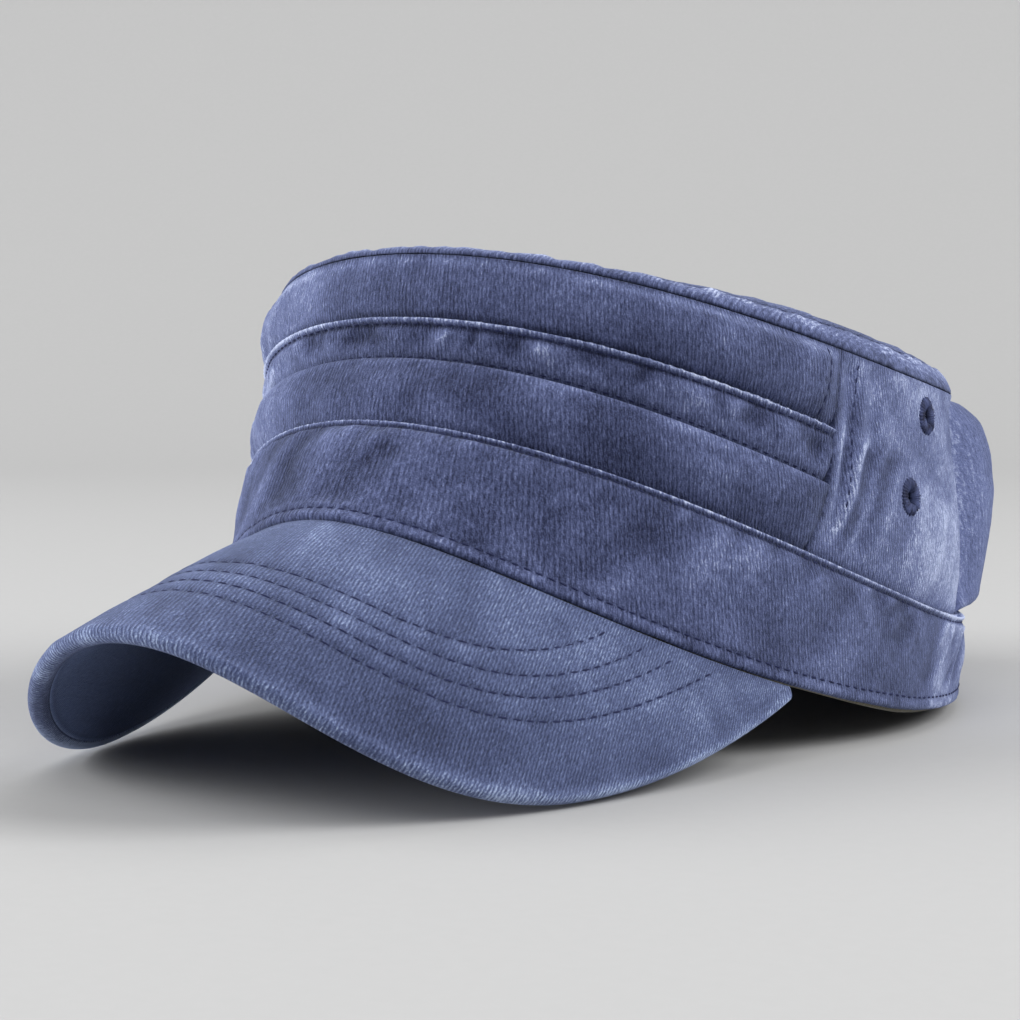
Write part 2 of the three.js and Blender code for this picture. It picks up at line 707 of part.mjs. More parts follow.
const underSections = brimAlong.map((along) => {
  const edgeShare = brimInset(along, BRIM_LIP + GAP);
  const shares = [...BRIM_SHARES, 1].map((share) => (share > 0 ? share * edgeShare : share));
  const outer = shares.map((share) => brimDeep(along, share, coverDepth(along) + GAP));
  const inner = shares.map((share) => brimDeep(along, share, brimDepth(along)));
  return { outer: outer.reverse(), inner: inner.reverse() };
});
addPiece('brim_under', shellGeometry(underSections, false), UNDER_NAVY);

// The frame's origin is on the table under the middle of the whole cap.
const extent = new THREE.Box3().setFromObject(cap);
cap.position.set(
  -(extent.min.x + extent.max.x) / 2,
  -(extent.min.y + extent.max.y) / 2,
  -extent.min.z,
);

export default cap;
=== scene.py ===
import math

import bpy
import numpy as np
from mathutils import Matrix, Vector


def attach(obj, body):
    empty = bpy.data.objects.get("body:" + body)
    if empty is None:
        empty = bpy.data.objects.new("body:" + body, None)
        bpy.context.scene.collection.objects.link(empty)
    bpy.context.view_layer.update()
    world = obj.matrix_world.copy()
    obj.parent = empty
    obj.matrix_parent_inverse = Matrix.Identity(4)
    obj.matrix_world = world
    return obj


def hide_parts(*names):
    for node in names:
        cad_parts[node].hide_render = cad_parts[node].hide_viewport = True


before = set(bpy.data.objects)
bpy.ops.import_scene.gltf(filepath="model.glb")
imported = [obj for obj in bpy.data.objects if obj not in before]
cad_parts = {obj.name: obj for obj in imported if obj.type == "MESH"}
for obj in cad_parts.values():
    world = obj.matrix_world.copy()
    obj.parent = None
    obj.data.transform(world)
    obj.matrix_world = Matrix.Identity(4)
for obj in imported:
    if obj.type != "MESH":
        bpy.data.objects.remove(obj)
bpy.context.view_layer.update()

# Sizes in millimetres and degrees. These are the same as those of the solids.
GAP = 0.3
CROWN_CLOTH = 1.6
BAND_CLOTH = 2.0
TOP_CLOTH = 1.6
SWEATBAND_CLOTH = 1.2
BRIM_COVER_CLOTH = 2.0
BRIM_UNDER_CLOTH = 1.5

# Seam lines round the cap, from the hem up to the top edge
SEAMS = [
    dict(centre=-9.7, half_length=105.7, half_width=82.2, squareness=1.86, taper=0.119,
         front=53.0, corner=20.9, side=6.6, back=-0.5),
    dict(centre=-1.4, half_length=96.2, half_width=81.2, squareness=1.97, taper=0.078,
         front=72.3, corner=48.4, side=30.3, back=25.5),
    dict(centre=2.0, half_length=90.4, half_width=80.9, squareness=2.06, taper=0.045,
         front=85.3, corner=63.3, side=47.0, back=42.0),
    dict(centre=2.5, half_length=89.0, half_width=79.5, squareness=2.07, taper=0.031,
         front=93.9, corner=75.1, side=60.4, back=55.0),
    dict(centre=4.1, half_length=86.4, half_width=77.6, squareness=2.03, taper=0.026,
         front=108.0, corner=92.6, side=81.2, back=79.0),
]
HEM = 0
BAND_TOP = 1
TUCK = 2
STRIP_TOP = 3
TOP_EDGE = 4
WALL_TOP = 3.94

SIDE_SEAM_FOOT = 66.4
SIDE_SEAM_HEAD = 71.6
REAR_SEAM = 123
REAR_DENT = 2.6

BRIM_LOW_POINT = 0.745
BRIM_CORNER = 68.9
BRIM_END = 0.985
BRIM_LIP = 2.2

EYELETS = [("upper", 94.1, 3.59), ("lower", 87.6, 2.41)]
EYELET_RADIUS = 4.2
EYELET_HOLE_RADIUS = 1.4
EYELET_BARREL_RADIUS = 2.2

# From here on the sizes are the scene's own
MODEL_SHIFT = 39.21          # from the cap's own middle to the frame's
SEAM_OVERLAP = 0.15          # how far a panel reaches past its upright seam, in degrees
MM_PER_DEGREE = 1.56         # round the wall, near enough for a pattern
WALL_RADIUS = 90             # likewise
BACK_HEIGHT = 54             # likewise
TOP_REACH = 80               # from the middle of the top to its rim, likewise
TOP_ROW_INSET = 4.7
RIM_GAP = 0.02
RIM_ROUND = 2.6
UPRIGHT_ROW = 4.8            # from the side seam to the stitched row before it
SIDE_ROW = 6.4               # and to the one behind it

# How finely the cloth is laid, and its stitches
WEAVE_STEP = 0.95
SIDE_STEP = 0.75
THINNEST_CLOTH = 0.25
STITCH_PITCH = 2.7
STITCH_LENGTH = 2.0
STITCH_WIDTH = 0.52
STITCH_HEIGHT = 0.42


# The cap's form

def ease(value, start, end):
    share = np.clip((np.asarray(value, float) - start) / (end - start), 0, 1)
    return share * share * (3 - 2 * share)


def bump(distance, width):
    """A soft ridge, 1 in the middle and gone at about twice its width."""
    return np.exp(-(np.asarray(distance, float) / width) ** 2)


def soft_steps(value, places, heights, softness):
    """A smooth curve through the steps of a short table."""
    fine = np.linspace(places[0], places[-1], 500)
    line = np.interp(fine, places, heights)
    reach = max(1, int(3 * softness / (fine[1] - fine[0])))
    near = np.arange(-reach, reach + 1) * (fine[1] - fine[0])
    weight = np.exp(-(near / softness) ** 2)
    padded = np.pad(line, reach, mode="edge")
    smooth = np.convolve(padded, weight / weight.sum(), mode="valid")
    return np.interp(value, fine, smooth)


def hashed(column, row, seed):
    value = np.sin(column * 127.1 + row * 311.7 + seed * 74.7) * 43758.5453
    return value - np.floor(value)


def cloud(x, y, seed):
    """Soft uneven patches, from -1 to 1, about one unit across."""
    x, y = np.broadcast_arrays(np.asarray(x, float), np.asarray(y, float))
    column, row = np.floor(x), np.floor(y)
    across, up = x - column, y - row
    across = across * across * (3 - 2 * across)
    up = up * up * (3 - 2 * up)
    low = hashed(column, row, seed) * (1 - across) + hashed(column + 1, row, seed) * across
    high = hashed(column, row + 1, seed) * (1 - across) + hashed(column + 1, row + 1, seed) * across
    return 2 * (low * (1 - up) + high * up) - 1


def clouds(x, y, seed):
    return 0.6 * cloud(x, y, seed) + 0.3 * cloud(2.1 * x + 5, 2.1 * y, seed + 3) \
        + 0.15 * cloud(4.3 * x, 4.3 * y + 9, seed + 7)


def seam_line(seam, degrees):
    angle = np.radians(degrees)
    power = 2 / seam["squareness"]
    across = np.sign(np.sin(angle)) * np.abs(np.sin(angle)) ** power
    along = np.sign(np.cos(angle)) * np.abs(np.cos(angle)) ** power
    front_back = (seam["front"] + seam["back"]) / 2
    lift = (seam["front"] - seam["back"]) / 2
    mean = (front_back + seam["side"]) / 2
    saddle = (front_back - seam["side"]) / 2
    third = (lift / 2 - (seam["corner"] - mean + saddle / 2)) / 1.5
    height = mean + (lift - third) * np.cos(angle) + saddle * np.cos(2 * angle) \
        + third * np.cos(3 * angle)
    return np.stack([
        seam["half_width"] * across * (1 - seam["taper"] * along),
        seam["centre"] - seam["half_length"] * along,
        np.maximum(0, height),
    ], -1)


def wall(degrees, level):
    """A point of the crown's smooth wall."""
    degrees, level = np.broadcast_arrays(np.asarray(degrees, float), np.asarray(level, float))
    rings = np.stack([seam_line(seam, degrees) for seam in SEAMS])
    lower = np.clip(np.floor(level), 0, 3).astype(int)
    share = (level - lower)[..., None]

    def at(index):
        held = np.clip(index, 0, 4)[None, ..., None]
        return np.take_along_axis(rings, np.broadcast_to(held, (1,) + rings.shape[1:-1] + (3,)), 0)[0]

    start, end = at(lower), at(lower + 1)
    before = np.where((lower > 0)[..., None], at(lower - 1), 2 * start - end)
    after = np.where((lower < 3)[..., None], at(lower + 2), 2 * end - start)
    return 0.5 * (2 * start + (end - before) * share
                  + (2 * before - 5 * start + 4 * end - after) * share ** 2
                  + (3 * start - before - 3 * end + after) * share ** 3)


def unit(vectors):
    return vectors / np.maximum(np.linalg.norm(vectors, axis=-1, keepdims=True), 1e-9)


def wall_normal(degrees, level):
    around = wall(np.asarray(degrees) + 0.5, level) - wall(np.asarray(degrees) - 0.5, level)
    rise = wall(degrees, np.asarray(level) + 0.05) - wall(degrees, np.asarray(level) - 0.05)
    return unit(np.cross(around, rise))


def wall_rise(degrees, level):
    """How many millimetres the wall rises in one level."""
    low, high = np.asarray(level) - 0.05, np.asarray(level) + 0.05
    return np.linalg.norm(wall(degrees, high) - wall(degrees, low), axis=-1) / 0.1


def off_wall(degrees, level, out):
    return wall(degrees, level) + wall_normal(degrees, level) * np.asarray(out)[..., None]


def side_seam(level):
    return SIDE_SEAM_FOOT + (SIDE_SEAM_HEAD - SIDE_SEAM_FOOT) * np.asarray(level) / TOP_EDGE


def round_way(degrees):
    """Millimetres round the wall, near enough for a pattern."""
    return np.asarray(degrees) * MM_PER_DEGREE


def panel_ways(degrees, level, foot, head):
    """Millimetres round the wall, up from a panel's foot and down from its head."""
    rise = wall_rise(degrees, level)
    return round_way(degrees), (level - foot) * rise, (head - level) * rise


def before_seam(degrees, level):
    """Millimetres from the side seam towards the front."""
    return (side_seam(level) - np.abs(degrees)) * MM_PER_DEGREE


def half_turn(degrees):
    """The same angle from -180 to 180."""
    return (degrees + 180) % 360 - 180


def mirrored_way(degrees):
    return np.abs(half_turn(degrees))


def ridge_knobs(way):
    """The small swellings of a folded edge between its stitches, from -1 to 1."""
    return 0.7 * np.cos(2 * np.pi * way / STITCH_PITCH) + 0.5 * cloud(way / 2.1, 0.5, 35)


def painted_seam_shade(way, down):
    """How much painted shade lies in the ditch of the top seam, darkest at its stitches."""
    return (0.45 + 0.4 * ridge_knobs(way + 0.6)) * bump(down - 0.2, 0.45)


def puckers(way, below, seed, period=4.2, reach=6.0):
    """Small gathers that run off a stitched line, below it by so many millimetres."""
    slant = way + 0.35 * below
    fold = cloud(slant / period, below / 7, seed) + 0.6 * cloud(slant / (0.55 * period), below / 5, seed + 1)
    return fold * np.exp(-np.abs(below) / reach)


# Each panel's face: how far it stands off the wall, and its tone, which holds wear and fading together with
# painted shade in ditches, grooves, hollows and under the edges of other panels, and painted light where a
# part faces the lamps

def band_face(degrees, level):
    way, up, down = panel_ways(degrees, level, HEM, BAND_TOP)
    share = np.clip(level, 0, 1)
    swell = 1.4 * np.where(share > 0.2, np.sin(np.pi * share ** 2.2), 0)
    out = swell * (0.5 + 0.5 * np.cos(np.radians(degrees)))
    hem = 1 - 0.7 * ease(np.abs(degrees), 64, 80)
    knobs = ridge_knobs(way)
    out = out + (0.15 * bump(up - 1.2, 1.2) - 0.22 * bump(up - 3.0, 0.6)) * hem
    out = out + (0.42 + 0.12 * knobs) * bump(down - 0.5, 0.65) - 0.5 * bump(down - 1.6, 0.5)
    folds = puckers(way, np.maximum(down - 1.6, 0), 4)
    hem_folds = puckers(way, np.maximum(up - 3, 0), 8, 3.4, 3.0)
    hem_roll = cloud(way / 2.6, 0.5, 21) * bump(up - 1.5, 1.3)
    end_folds = cloud((way - 1.1 * up) / 2.6, up / 9, 33) * bump(np.abs(degrees) - 108, 9)
    waves = clouds(way / 17, up / 11, 12)
    middle = ease(up, 3, 8) * ease(down, 2, 6)
    slack = cloud((way - 0.6 * up) / 8, up / 22, 31) * middle
    out = out + 0.8 * folds * ease(down, 1.6, 3.0) + 0.4 * hem_folds * ease(up, 2.8, 4)
    out = out + 0.3 * hem_roll + 0.6 * waves * middle + 0.55 * slack + 0.4 * end_folds * middle
    faded = 0.75 + 0.35 * cloud(way / 11, 0.5, 36)
    # Painted light: how much the band's ends past the side seams are lit by the side lamps, fading out round
    # the back
    end = ease(np.abs(degrees), 96, 101) * (1 - 0.75 * ease(np.abs(degrees), 108, 124))
    # Worn light along the folded top edge, and painted shade in the ditch below it and in the groove of the
    # hem stitches
    wear_and_shade = (1.55 * faded + 0.55 * knobs) * bump(down - 0.45, 0.6) - 1.0 * bump(down - 1.65, 0.5)
    wear_and_shade = wear_and_shade - 0.3 * bump(up - 3.0, 0.7) * hem + 0.2 * bump(up - 1.5, 1.0) + 0.5 * hem_roll
    # Folds, waves and slack are lighter where they stand out, as wear, and darker where they sink, as
    # painted shade
    wear_and_shade = wear_and_shade + 0.8 * folds * ease(down, 1.8, 3.2) + 0.45 * waves * middle + 0.5 * slack + 0.6 * end_folds
    wear_and_shade = wear_and_shade + 0.3 * hem_folds * ease(up, 3, 4.5)
    # Painted light: lighter towards the sides, and much lighter at the ends, which face the side lamps
    tone = wear_and_shade - 0.38 + 0.25 * ease(np.abs(degrees), 46, 92) + 0.95 * end
    # Painted light on the front's -x side, which faces the left lamp
    tone = tone + 0.45 * ease(-degrees, 16, 30) * (1 - ease(-degrees, 80, 130))
    return out, tone


def lower_face(degrees, level):
    way, up, down = panel_ways(degrees, level, BAND_TOP, TUCK)
    behind = -(BAND_CLOTH + GAP)
    stands = [behind, behind, -1.1, 0, 0.2, 0.6, 0.1]
    out = soft_steps(level, [0.8, 1, 1.12, 1.4, 1.7, 1.93, 2], stands, 0.05)
    seam = before_seam(degrees, level)
    out = out + 1.3 * ease(seam, -0.5, 6) * np.sin(np.pi * np.clip((level - 1.1) / 0.9, 0, 1))
    free = ease(up, 0.5, 4) * ease(seam, -0.5, 3)
    edge = puckers(way, np.maximum(down, 0), 44, 5, 4)
    foot = puckers(way, np.maximum(up, 0), 46, 6, 5)
    waves = clouds(way / 19, up / 9, 48)
    out = out + 0.45 * edge * ease(down, 0.6, 2.5) + (0.5 * foot + 0.6 * waves) * free * ease(down, 0, 3)
    out = out - 0.5 * bump(seam, 1.0)
    left_end = bump(degrees + 50, 11) + 0.4 * bump(degrees - 63, 4)
    crease = cloud((way - 0.3 * up) / 3.2, up / 14, 50) * left_end
    out = out + 0.6 * crease * free * ease(down, 0, 3)
    # Puckers, waves and creases are lighter where they stand out, as wear, and darker where they sink, as
    # painted shade
    tone = -0.34 + 0.5 * edge * ease(down, 0.6, 2.5) + 0.4 * waves + 0.45 * foot * free + 0.7 * crease
    # Painted shade where the panel comes out from under the band and in the side seam's ditch, and a painted
    # highlight along the puffed top edge
    tone = tone - 0.6 * bump(up - 0.4, 1.1) + 0.3 * bump(down - 1.2, 1.5) - 0.6 * bump(seam, 0.7)
    # Painted light on the front's -x side, which faces the left lamp
    tone = tone + 0.55 * ease(-degrees, 14, 30)
    return out, tone


def strip_face(degrees, level):
    way, up, down = panel_ways(degrees, level, TUCK, STRIP_TOP)
    behind = -(CROWN_CLOTH + GAP)
    out = soft_steps(level, [1.3, 1.5, 1.75, 2, 2.2, 2.6, 3],
                     [behind + 1.3, behind + 0.6, behind, behind, -0.7, -0.2, 0], 0.05)
    middle = np.sin(np.pi * ease(level, 2.02, 2.98))
    gathers = puckers(way, np.maximum(down - 1.6, 0), 61, 4.6, 8)
    knobs = ridge_knobs(way + 1)
    small = cloud((way - 0.5 * up) / 2.7, up / 8, 63)
    out = out + 0.25 * middle * np.cos(np.radians(degrees * 30))
    seam = before_seam(degrees, level)
    out = out + (0.42 + 0.12 * knobs) * bump(down - 0.5, 0.65) - 0.5 * bump(down - 1.6, 0.5)
    out = out + 1.15 * gathers * middle + 0.35 * small * middle - 0.4 * bump(seam, 1.0)
    waves = clouds(way / 15, up / 8, 66)
    faded = 0.75 + 0.35 * cloud(way / 11, 0.5, 68)
    # Worn light along the folded top edge, and painted shade in the ditch below it
    tone = -0.02 + (1.5 * faded + 0.55 * knobs) * bump(down - 0.45, 0.6) - 1.0 * bump(down - 1.65, 0.5)
    # Gathers, small folds and waves are lighter where they stand out, as wear, and darker where they sink,
    # as painted shade
    tone = tone + 1.0 * gathers * middle + 0.3 * small * middle + 0.45 * waves * middle
    # Painted shade where the strip comes out from under the lower panel and in the side seam's ditch, and
    # painted light on the front's -x side, which faces the left lamp
    tone = tone - 0.75 * bump(up - 0.1, 0.9) - 0.5 * bump(seam, 0.7) + 0.5 * ease(-degrees, 14, 30)
    return out, tone


def upper_face(degrees, level):
    way, up, down = panel_ways(degrees, level, STRIP_TOP, WALL_TOP)
    behind = -(CROWN_CLOTH + GAP)
    out = soft_steps(level, [2.65, 3, 3.1, 3.35, 3.65, 3.94], [behind - 0.5, behind, -1.0, -0.1, 0, 0], 0.04)
    corner = ease(np.abs(degrees), 20, 55)
    seam = before_seam(degrees, level)
    full = corner * ease(seam, -0.5, 7) * ease(down, -0.3, 4)
    out = out + 2.8 * full * np.sin(np.pi * np.clip((level - 3.05) / 0.95, 0, 1) ** 1.2) ** 0.7
    free = ease(up, 0.5, 4) * ease(down, 0, 3) * ease(seam, -0.5, 3)
    rim = puckers(way, np.maximum(down, 0), 81, 5, 4.5)
    waves = clouds(way / 21, up / 10, 83)
    ends = bump(degrees + 47, 12) + 0.4 * bump(degrees - 65, 4)
    creases = cloud((way - 0.3 * up) / 3.4, up / 16, 85) * ends
    row = ease(degrees, 40, 64) * bump((side_seam(level) - degrees) * MM_PER_DEGREE - UPRIGHT_ROW, 0.8)
    out = out + (0.55 * rim + 0.6 * waves + 0.9 * creases) * free - 0.4 * row * free
    out = out - 0.5 * bump(seam, 1.0) * free
    # Puckers, waves and creases are lighter where they stand out, as wear, and darker where they sink, as
    # painted shade
    tone = -0.13 + 0.5 * rim * free + 0.42 * waves * free + 0.9 * creases * free
    # Painted shade where the panel comes out from under the strip, in the groove of the upright stitched row
    # and in the side seam's ditch
    tone = tone - 0.6 * bump(up - 0.3, 1.0) - 0.4 * row - 0.6 * bump(seam, 0.7)
    # Painted shade in the top seam's ditch, a lighter band a little below the top edge, and painted light on
    # the front's -x side, which faces the left lamp
    tone = tone - painted_seam_shade(way, down) + 0.45 * bump(down - 1.6, 1.1) + 0.5 * ease(-degrees, 14, 30)
    return out, tone


# Folds and creases of the side panels, which also set their tone: a fold stands out and is lighter, as wear
# and painted light, and a crease sinks and is darker with painted shade. How strong (less than 0 for a
# crease), where their foot and head are (degrees past the seam and millimetres up), and how wide they are in
# degrees
SIDE_FOLDS = [
    (0.75, 1.5, 8, 2.6, 48, 0.6),
    (-0.6, 2.7, 10, 4.6, 50, 0.6),
    (0.7, 3.4, 2, 7.8, 42, 0.65),
    (-0.5, 4.8, 3, 9.6, 40, 0.7),
    (0.6, 6.6, 2, 12.2, 38, 0.75),
    (-0.3, 8.6, 3, 14.4, 34, 0.9),
    (0.4, 11.0, 2, 16.5, 32, 0.9),
    (0.35, 18.0, 2, 22.5, 26, 1.2),
    (0.4, 27.5, 1, 30.5, 20, 1.3),
]


def fold_line(past, up, foot, low, head, high, width):
    """A straight fold from its foot to its head, soft at both ends."""
    share = (up - low) / (high - low)
    line = foot + (head - foot) * share
    ends = ease(share, -0.15, 0.2) * (1 - ease(share, 0.75, 1.1))
    return bump(past - line, width) * ends


def side_face(degrees, level):
    way, up, down = panel_ways(degrees, level, BAND_TOP, WALL_TOP)
    behind = -(BAND_CLOTH + GAP)
    out = soft_steps(level, [0.8, 1, 1.14, 1.5, 2, 3.94], [behind, behind, -1.2, -0.3, 0, 0], 0.05)
    past = degrees - side_seam(level)
    free = ease(level, 1, 1.4) * (1 - ease(level, 3.7, 3.95))
    fade = 1 - ease(past, 2, 16)
    folds = 0.7 * (np.cos(2 * np.pi * past / 5.5) - 1) * fade
    dent = -REAR_DENT * ease(degrees, REAR_SEAM - 16, REAR_SEAM)
    out = out + (folds + dent) * free
    slant = past - 0.24 * up
    ridges = cloud(slant / 2.3, up / 34, 101) * (1 - 0.6 * ease(past, 8, 34)) * ease(48 - up, 0, 16)
    ridges = ridges + 0.6 * cloud(slant / 1.3, up / 30, 103) * (1 - ease(past, 4, 22))
    waves = clouds(way / 13, up / 14, 105)
    edge = puckers(way, np.maximum(down, 0), 107, 4, 4)
    loose = free * ease(past, 0.3, 2)
    creases = sum(size * fold_line(past, up, *line) for size, *line in SIDE_FOLDS)
    out = out + (0.22 * ridges + 0.4 * waves + 0.4 * edge + 0.5 * creases) * loose
    out = out - 0.5 * bump(past * MM_PER_DEGREE, 1.0) * free
    # Painted light: the side is lighter from a little behind its seam on, where it faces the side lamps;
    # ridges and waves lighter where they stand out, as wear, and darker where they sink, as painted shade
    tone = 0.22 + 0.5 * ease(degrees, 74, 88) + 0.35 * ridges * loose + 0.5 * waves * free
    tone = tone + 0.95 * creases * loose
    # Painted shade in the top seam's ditch and where the panel comes out from under the band
    tone = tone + 0.45 * edge * ease(down, 0, 2) - painted_seam_shade(way, down) - 0.6 * bump(up - 0.3, 1.1)
    rear = (REAR_SEAM - degrees) * MM_PER_DEGREE
    # Painted shade in the side seam's ditch and in the dent before the rear seam, and a light line along the
    # rear seam's edge
    tone = tone - 0.9 * bump(past * MM_PER_DEGREE, 0.8) + 1.3 * bump(rear - 0.45, 0.5)
    tone = tone - 0.4 * bump(rear - 4.5, 3.0)
    return out, tone


# How far the back stands out, as shares, at places from its top down to the band
BACK_PLACES = [0.0, 0.04, 0.1, 0.22, 0.4, 0.58, 0.76, 0.89, 0.96, 0.98, 1.0]
BACK_STANDS = [0.0, 0.42, 0.86, 1.03, 1.0, 0.9, 0.76, 0.66, 0.54, 0.3, 0.0]


def back_face(degrees, level):
    span = 2 * (180 - REAR_SEAM)
    past = np.minimum(degrees - REAR_SEAM, REAR_SEAM + span - degrees)
    edge = np.sin(np.pi / 2 * np.clip(past / 9, 0, 1)) ** 0.8
    middle = ease(past, 9, span / 2)
    ripple = 0.6 * np.cos(np.radians(degrees * 15)) * ease(past, 9, 18)
    stand = edge * (12.5 * (1 - 0.45 * middle) + ripple)
    down = (WALL_TOP - level) / (WALL_TOP - BAND_TOP)
    profile = soft_steps(down, BACK_PLACES, BACK_STANDS, 0.03)
    profile = profile * ease(down, -0.002, 0.05)
    behind = -(BAND_CLOTH + GAP)
    swing = np.clip(1 - past / (span / 2), 0, 1) ** 8
    dent = -REAR_DENT * swing * ease(level, 1, 1.4) * (1 - ease(level, 3.7, 3.95))
    tucked = 1 - ease(level, 1.0, 1.05)
    way = round_way(degrees)
    up = (level - BAND_TOP) * BACK_HEIGHT / 3
    body = ease(past, 0.5, 6) * ease(level, 1.03, 1.3) * ease(down, 0.0, 0.08)
    gathers = cloud((way + 0.25 * up) / 7.5, up / 34, 121) + 0.5 * cloud(way / 3.8, up / 22, 123)
    waves = clouds(way / 18, up / 16, 125)
    out = (dent + profile * stand) * (1 - tucked) + behind * tucked
    out = out + (1.1 * gathers + 0.6 * waves) * body
    # Painted light: the whole back is lighter, as it faces the lamps behind the cap; gathers and waves
    # lighter where they stand out, as wear, and darker where they sink, as painted shade
    tone = 0.34 + 0.6 * gathers * body + 0.3 * waves * body
    # Lighter just past the rear seams, and painted shade in the top seam's ditch
    tone = tone + 0.3 * bump(past * 1.6 - 1.4, 1.0) - painted_seam_shade(way, down * BACK_HEIGHT)
    return out, tone


def away_from_edit():
    """Object mode with nothing selected."""
    if bpy.context.object and bpy.context.object.mode != "OBJECT":
        bpy.ops.object.mode_set(mode="OBJECT")
    bpy.ops.object.select_all(action="DESELECT")


def to_frame(points):
    """From the cap's own millimetres to the frame's metres, and never under the table."""
    moved = np.array(points, float)
    moved[..., 1] += MODEL_SHIFT
    moved[..., 2] = np.maximum(moved[..., 2], 0)
    return moved / 1000


def read_points(piece):
    place = np.zeros(len(piece.data.vertices) * 3)
    piece.data.vertices.foreach_get("co", place)
    return place.reshape(-1, 3)


def set_points(piece, place):
    piece.data.vertices.foreach_set("co", place.astype(np.float32).ravel())
    piece.data.update()


def run_length(points, axis):
    step = np.linalg.norm(np.diff(points, axis=axis), axis=-1)
    start = np.zeros_like(np.take(step, [0], axis))
    return np.cumsum(np.concatenate([start, step], axis), axis)


def grid_normals(points, closed):
    if closed:
        ring = np.concatenate([points[-2:-1], points, points[1:2]], 0)
        around = (ring[2:] - ring[:-2])
    else:
        around = np.gradient(points, axis=0)
    rise = np.gradient(points, axis=1)
    return unit(np.cross(around, rise))


def edge_shares(length, step, low, high, fine=0.0):
    """Places along a panel, from 0 to 1, close together at its ends, which are round by those radii.

    Beyond the round part they are twice as close for the millimetres that fine names.
    """
    turn = 1 - np.cos(np.radians([0, 22, 44, 66, 90]))
    start, stop = low + fine, length - high - fine
    count = max(3, int(round((stop - start) / step)))
    close = np.linspace(0, fine, int(2 * fine / step) + 1)[1:]
    middle = np.linspace(start, stop, count + 1)[1:-1]
    middle = np.concatenate([low + close, middle, length - high - close[::-1]])
    return np.concatenate([low * turn, middle, length - (high * turn)[::-1]]) / length


def lay_cloth(name, points, tone, cloth, closed, rounds=None, pattern=None, pole=False, lining=-0.3):
    """A panel of cloth of that thickness under a face, whose points lie in columns along it and rows up it.

    The rounds are the radii of its low, high and side edges. A pattern gives the way along the weave at
    each point. A pole is a last row that is one point. The lining is how light the inner side is.
    """
    columns, rows = points.shape[:2]
    normals = grid_normals(points, closed)
    if pole:
        normals[:, -1] = unit(normals[:, -2].mean(0))
    along = run_length(points, 0)
    up = run_length(points, 1)
    half = np.asarray(cloth, float) / 2
    low, high, ends = rounds or (half, half, half)
    near = up / low
    if not pole:
        near = np.minimum(near, (up[:, -1:] - up) / high)
    if not closed:
        near = np.minimum(near, np.minimum(along, along[-1:] - along) / ends)
    share = np.clip(1 - near, 0, 1)
    round_edge = np.sqrt(np.clip(1 - share ** 2, 0, 1))[..., None]
    if half.ndim:
        half = half[..., None]
    middle = points - normals * half
    outer = middle + normals * half * round_edge
    inner = middle - normals * half * round_edge
    both = np.concatenate([outer, inner[:, ::-1]], 1)
    middle = np.repeat(along[:, rows // 2:rows // 2 + 1], rows, 1)
    pattern_along = middle / 10 if pattern is None else pattern
    pattern_up = up / 10
    if pole:
        pattern_along = points[..., 0] / 10
        pattern_up = points[..., 1] / 10
    flat_u = np.concatenate([pattern_along, pattern_along[:, ::-1]], 1)
    flat_v = np.concatenate([pattern_up, pattern_up[:, ::-1]], 1)
    deep = ease(near, 1.1, 3.0)
    inside = tone * (1 - deep) + (np.clip(tone, -0.3, 0.1) + lining) * deep
    tones = np.concatenate([tone, inside[:, ::-1]], 1)

    away_from_edit()
    bpy.ops.mesh.primitive_grid_add(
        x_subdivisions=columns - 1, y_subdivisions=2 * rows - 1, size=0.1, location=(0, 0, 0))
    piece = bpy.context.object
    piece.name = name
    mesh = piece.data
    mesh.name = name
    # the grid's points run along x first, then y
    set_points(piece, to_frame(both.transpose(1, 0, 2)))
    attribute = mesh.attributes.new("tone", "FLOAT", "POINT")
    attribute.data.foreach_set("value", tones.T.astype(np.float32).ravel())
    corner = np.zeros(len(mesh.loops), np.int32)
    mesh.loops.foreach_get("vertex_index", corner)
    layer = mesh.uv_layers[0] if mesh.uv_layers else mesh.uv_layers.new()
    layer.name = "cloth_way"
    flat = np.stack([flat_u.T.ravel()[corner], flat_v.T.ravel()[corner]], -1)
    layer.data.foreach_set("uv", flat.astype(np.float32).ravel())
    bpy.ops.object.mode_set(mode="EDIT")
    bpy.ops.mesh.select_all(action="SELECT")
    bpy.ops.mesh.remove_doubles(threshold=0.000004)
    bpy.ops.mesh.normals_make_consistent(inside=False)
    bpy.ops.object.mode_set(mode="OBJECT")
    bpy.ops.object.shade_smooth()
    return piece


def wall_panel(name, low, high, start, end, face, cloth, rounds, closed=False, step=WEAVE_STEP):
    """A panel of the wall between two levels and two angles, which may lean with the level."""
    reach = WALL_RADIUS * math.radians(float(np.max(end(high)) - np.min(start(high))))
    height = float(np.mean(wall_rise(np.array([0.0, 60.0, 150.0]), (low + high) / 2))) * (high - low)
    if closed:
        across = np.linspace(0, 1, int(reach / WEAVE_STEP) + 1)
    else:
        across = edge_shares(reach, step, rounds[2], rounds[2])
    upward = edge_shares(height, WEAVE_STEP, rounds[0], rounds[1], 3.5)
    level = low + (high - low) * upward[None, :] + 0 * across[:, None]
    degrees = start(level) + (end(level) - start(level)) * across[:, None]
    out, tone = face(degrees, level)
    points = off_wall(degrees, level, out)
    if closed:
        points[-1] = points[0]
        tone[-1] = tone[0]
    # the weave runs with the angle in plan, so that it stays upright on a leaning wall
    plan = np.degrees(np.arctan2(points[..., 0], 6 - points[..., 1]))
    plan = plan + 360 * np.round((degrees - plan) / 360)
    return lay_cloth(name, points, tone, cloth, closed, rounds, plan * 0.15)


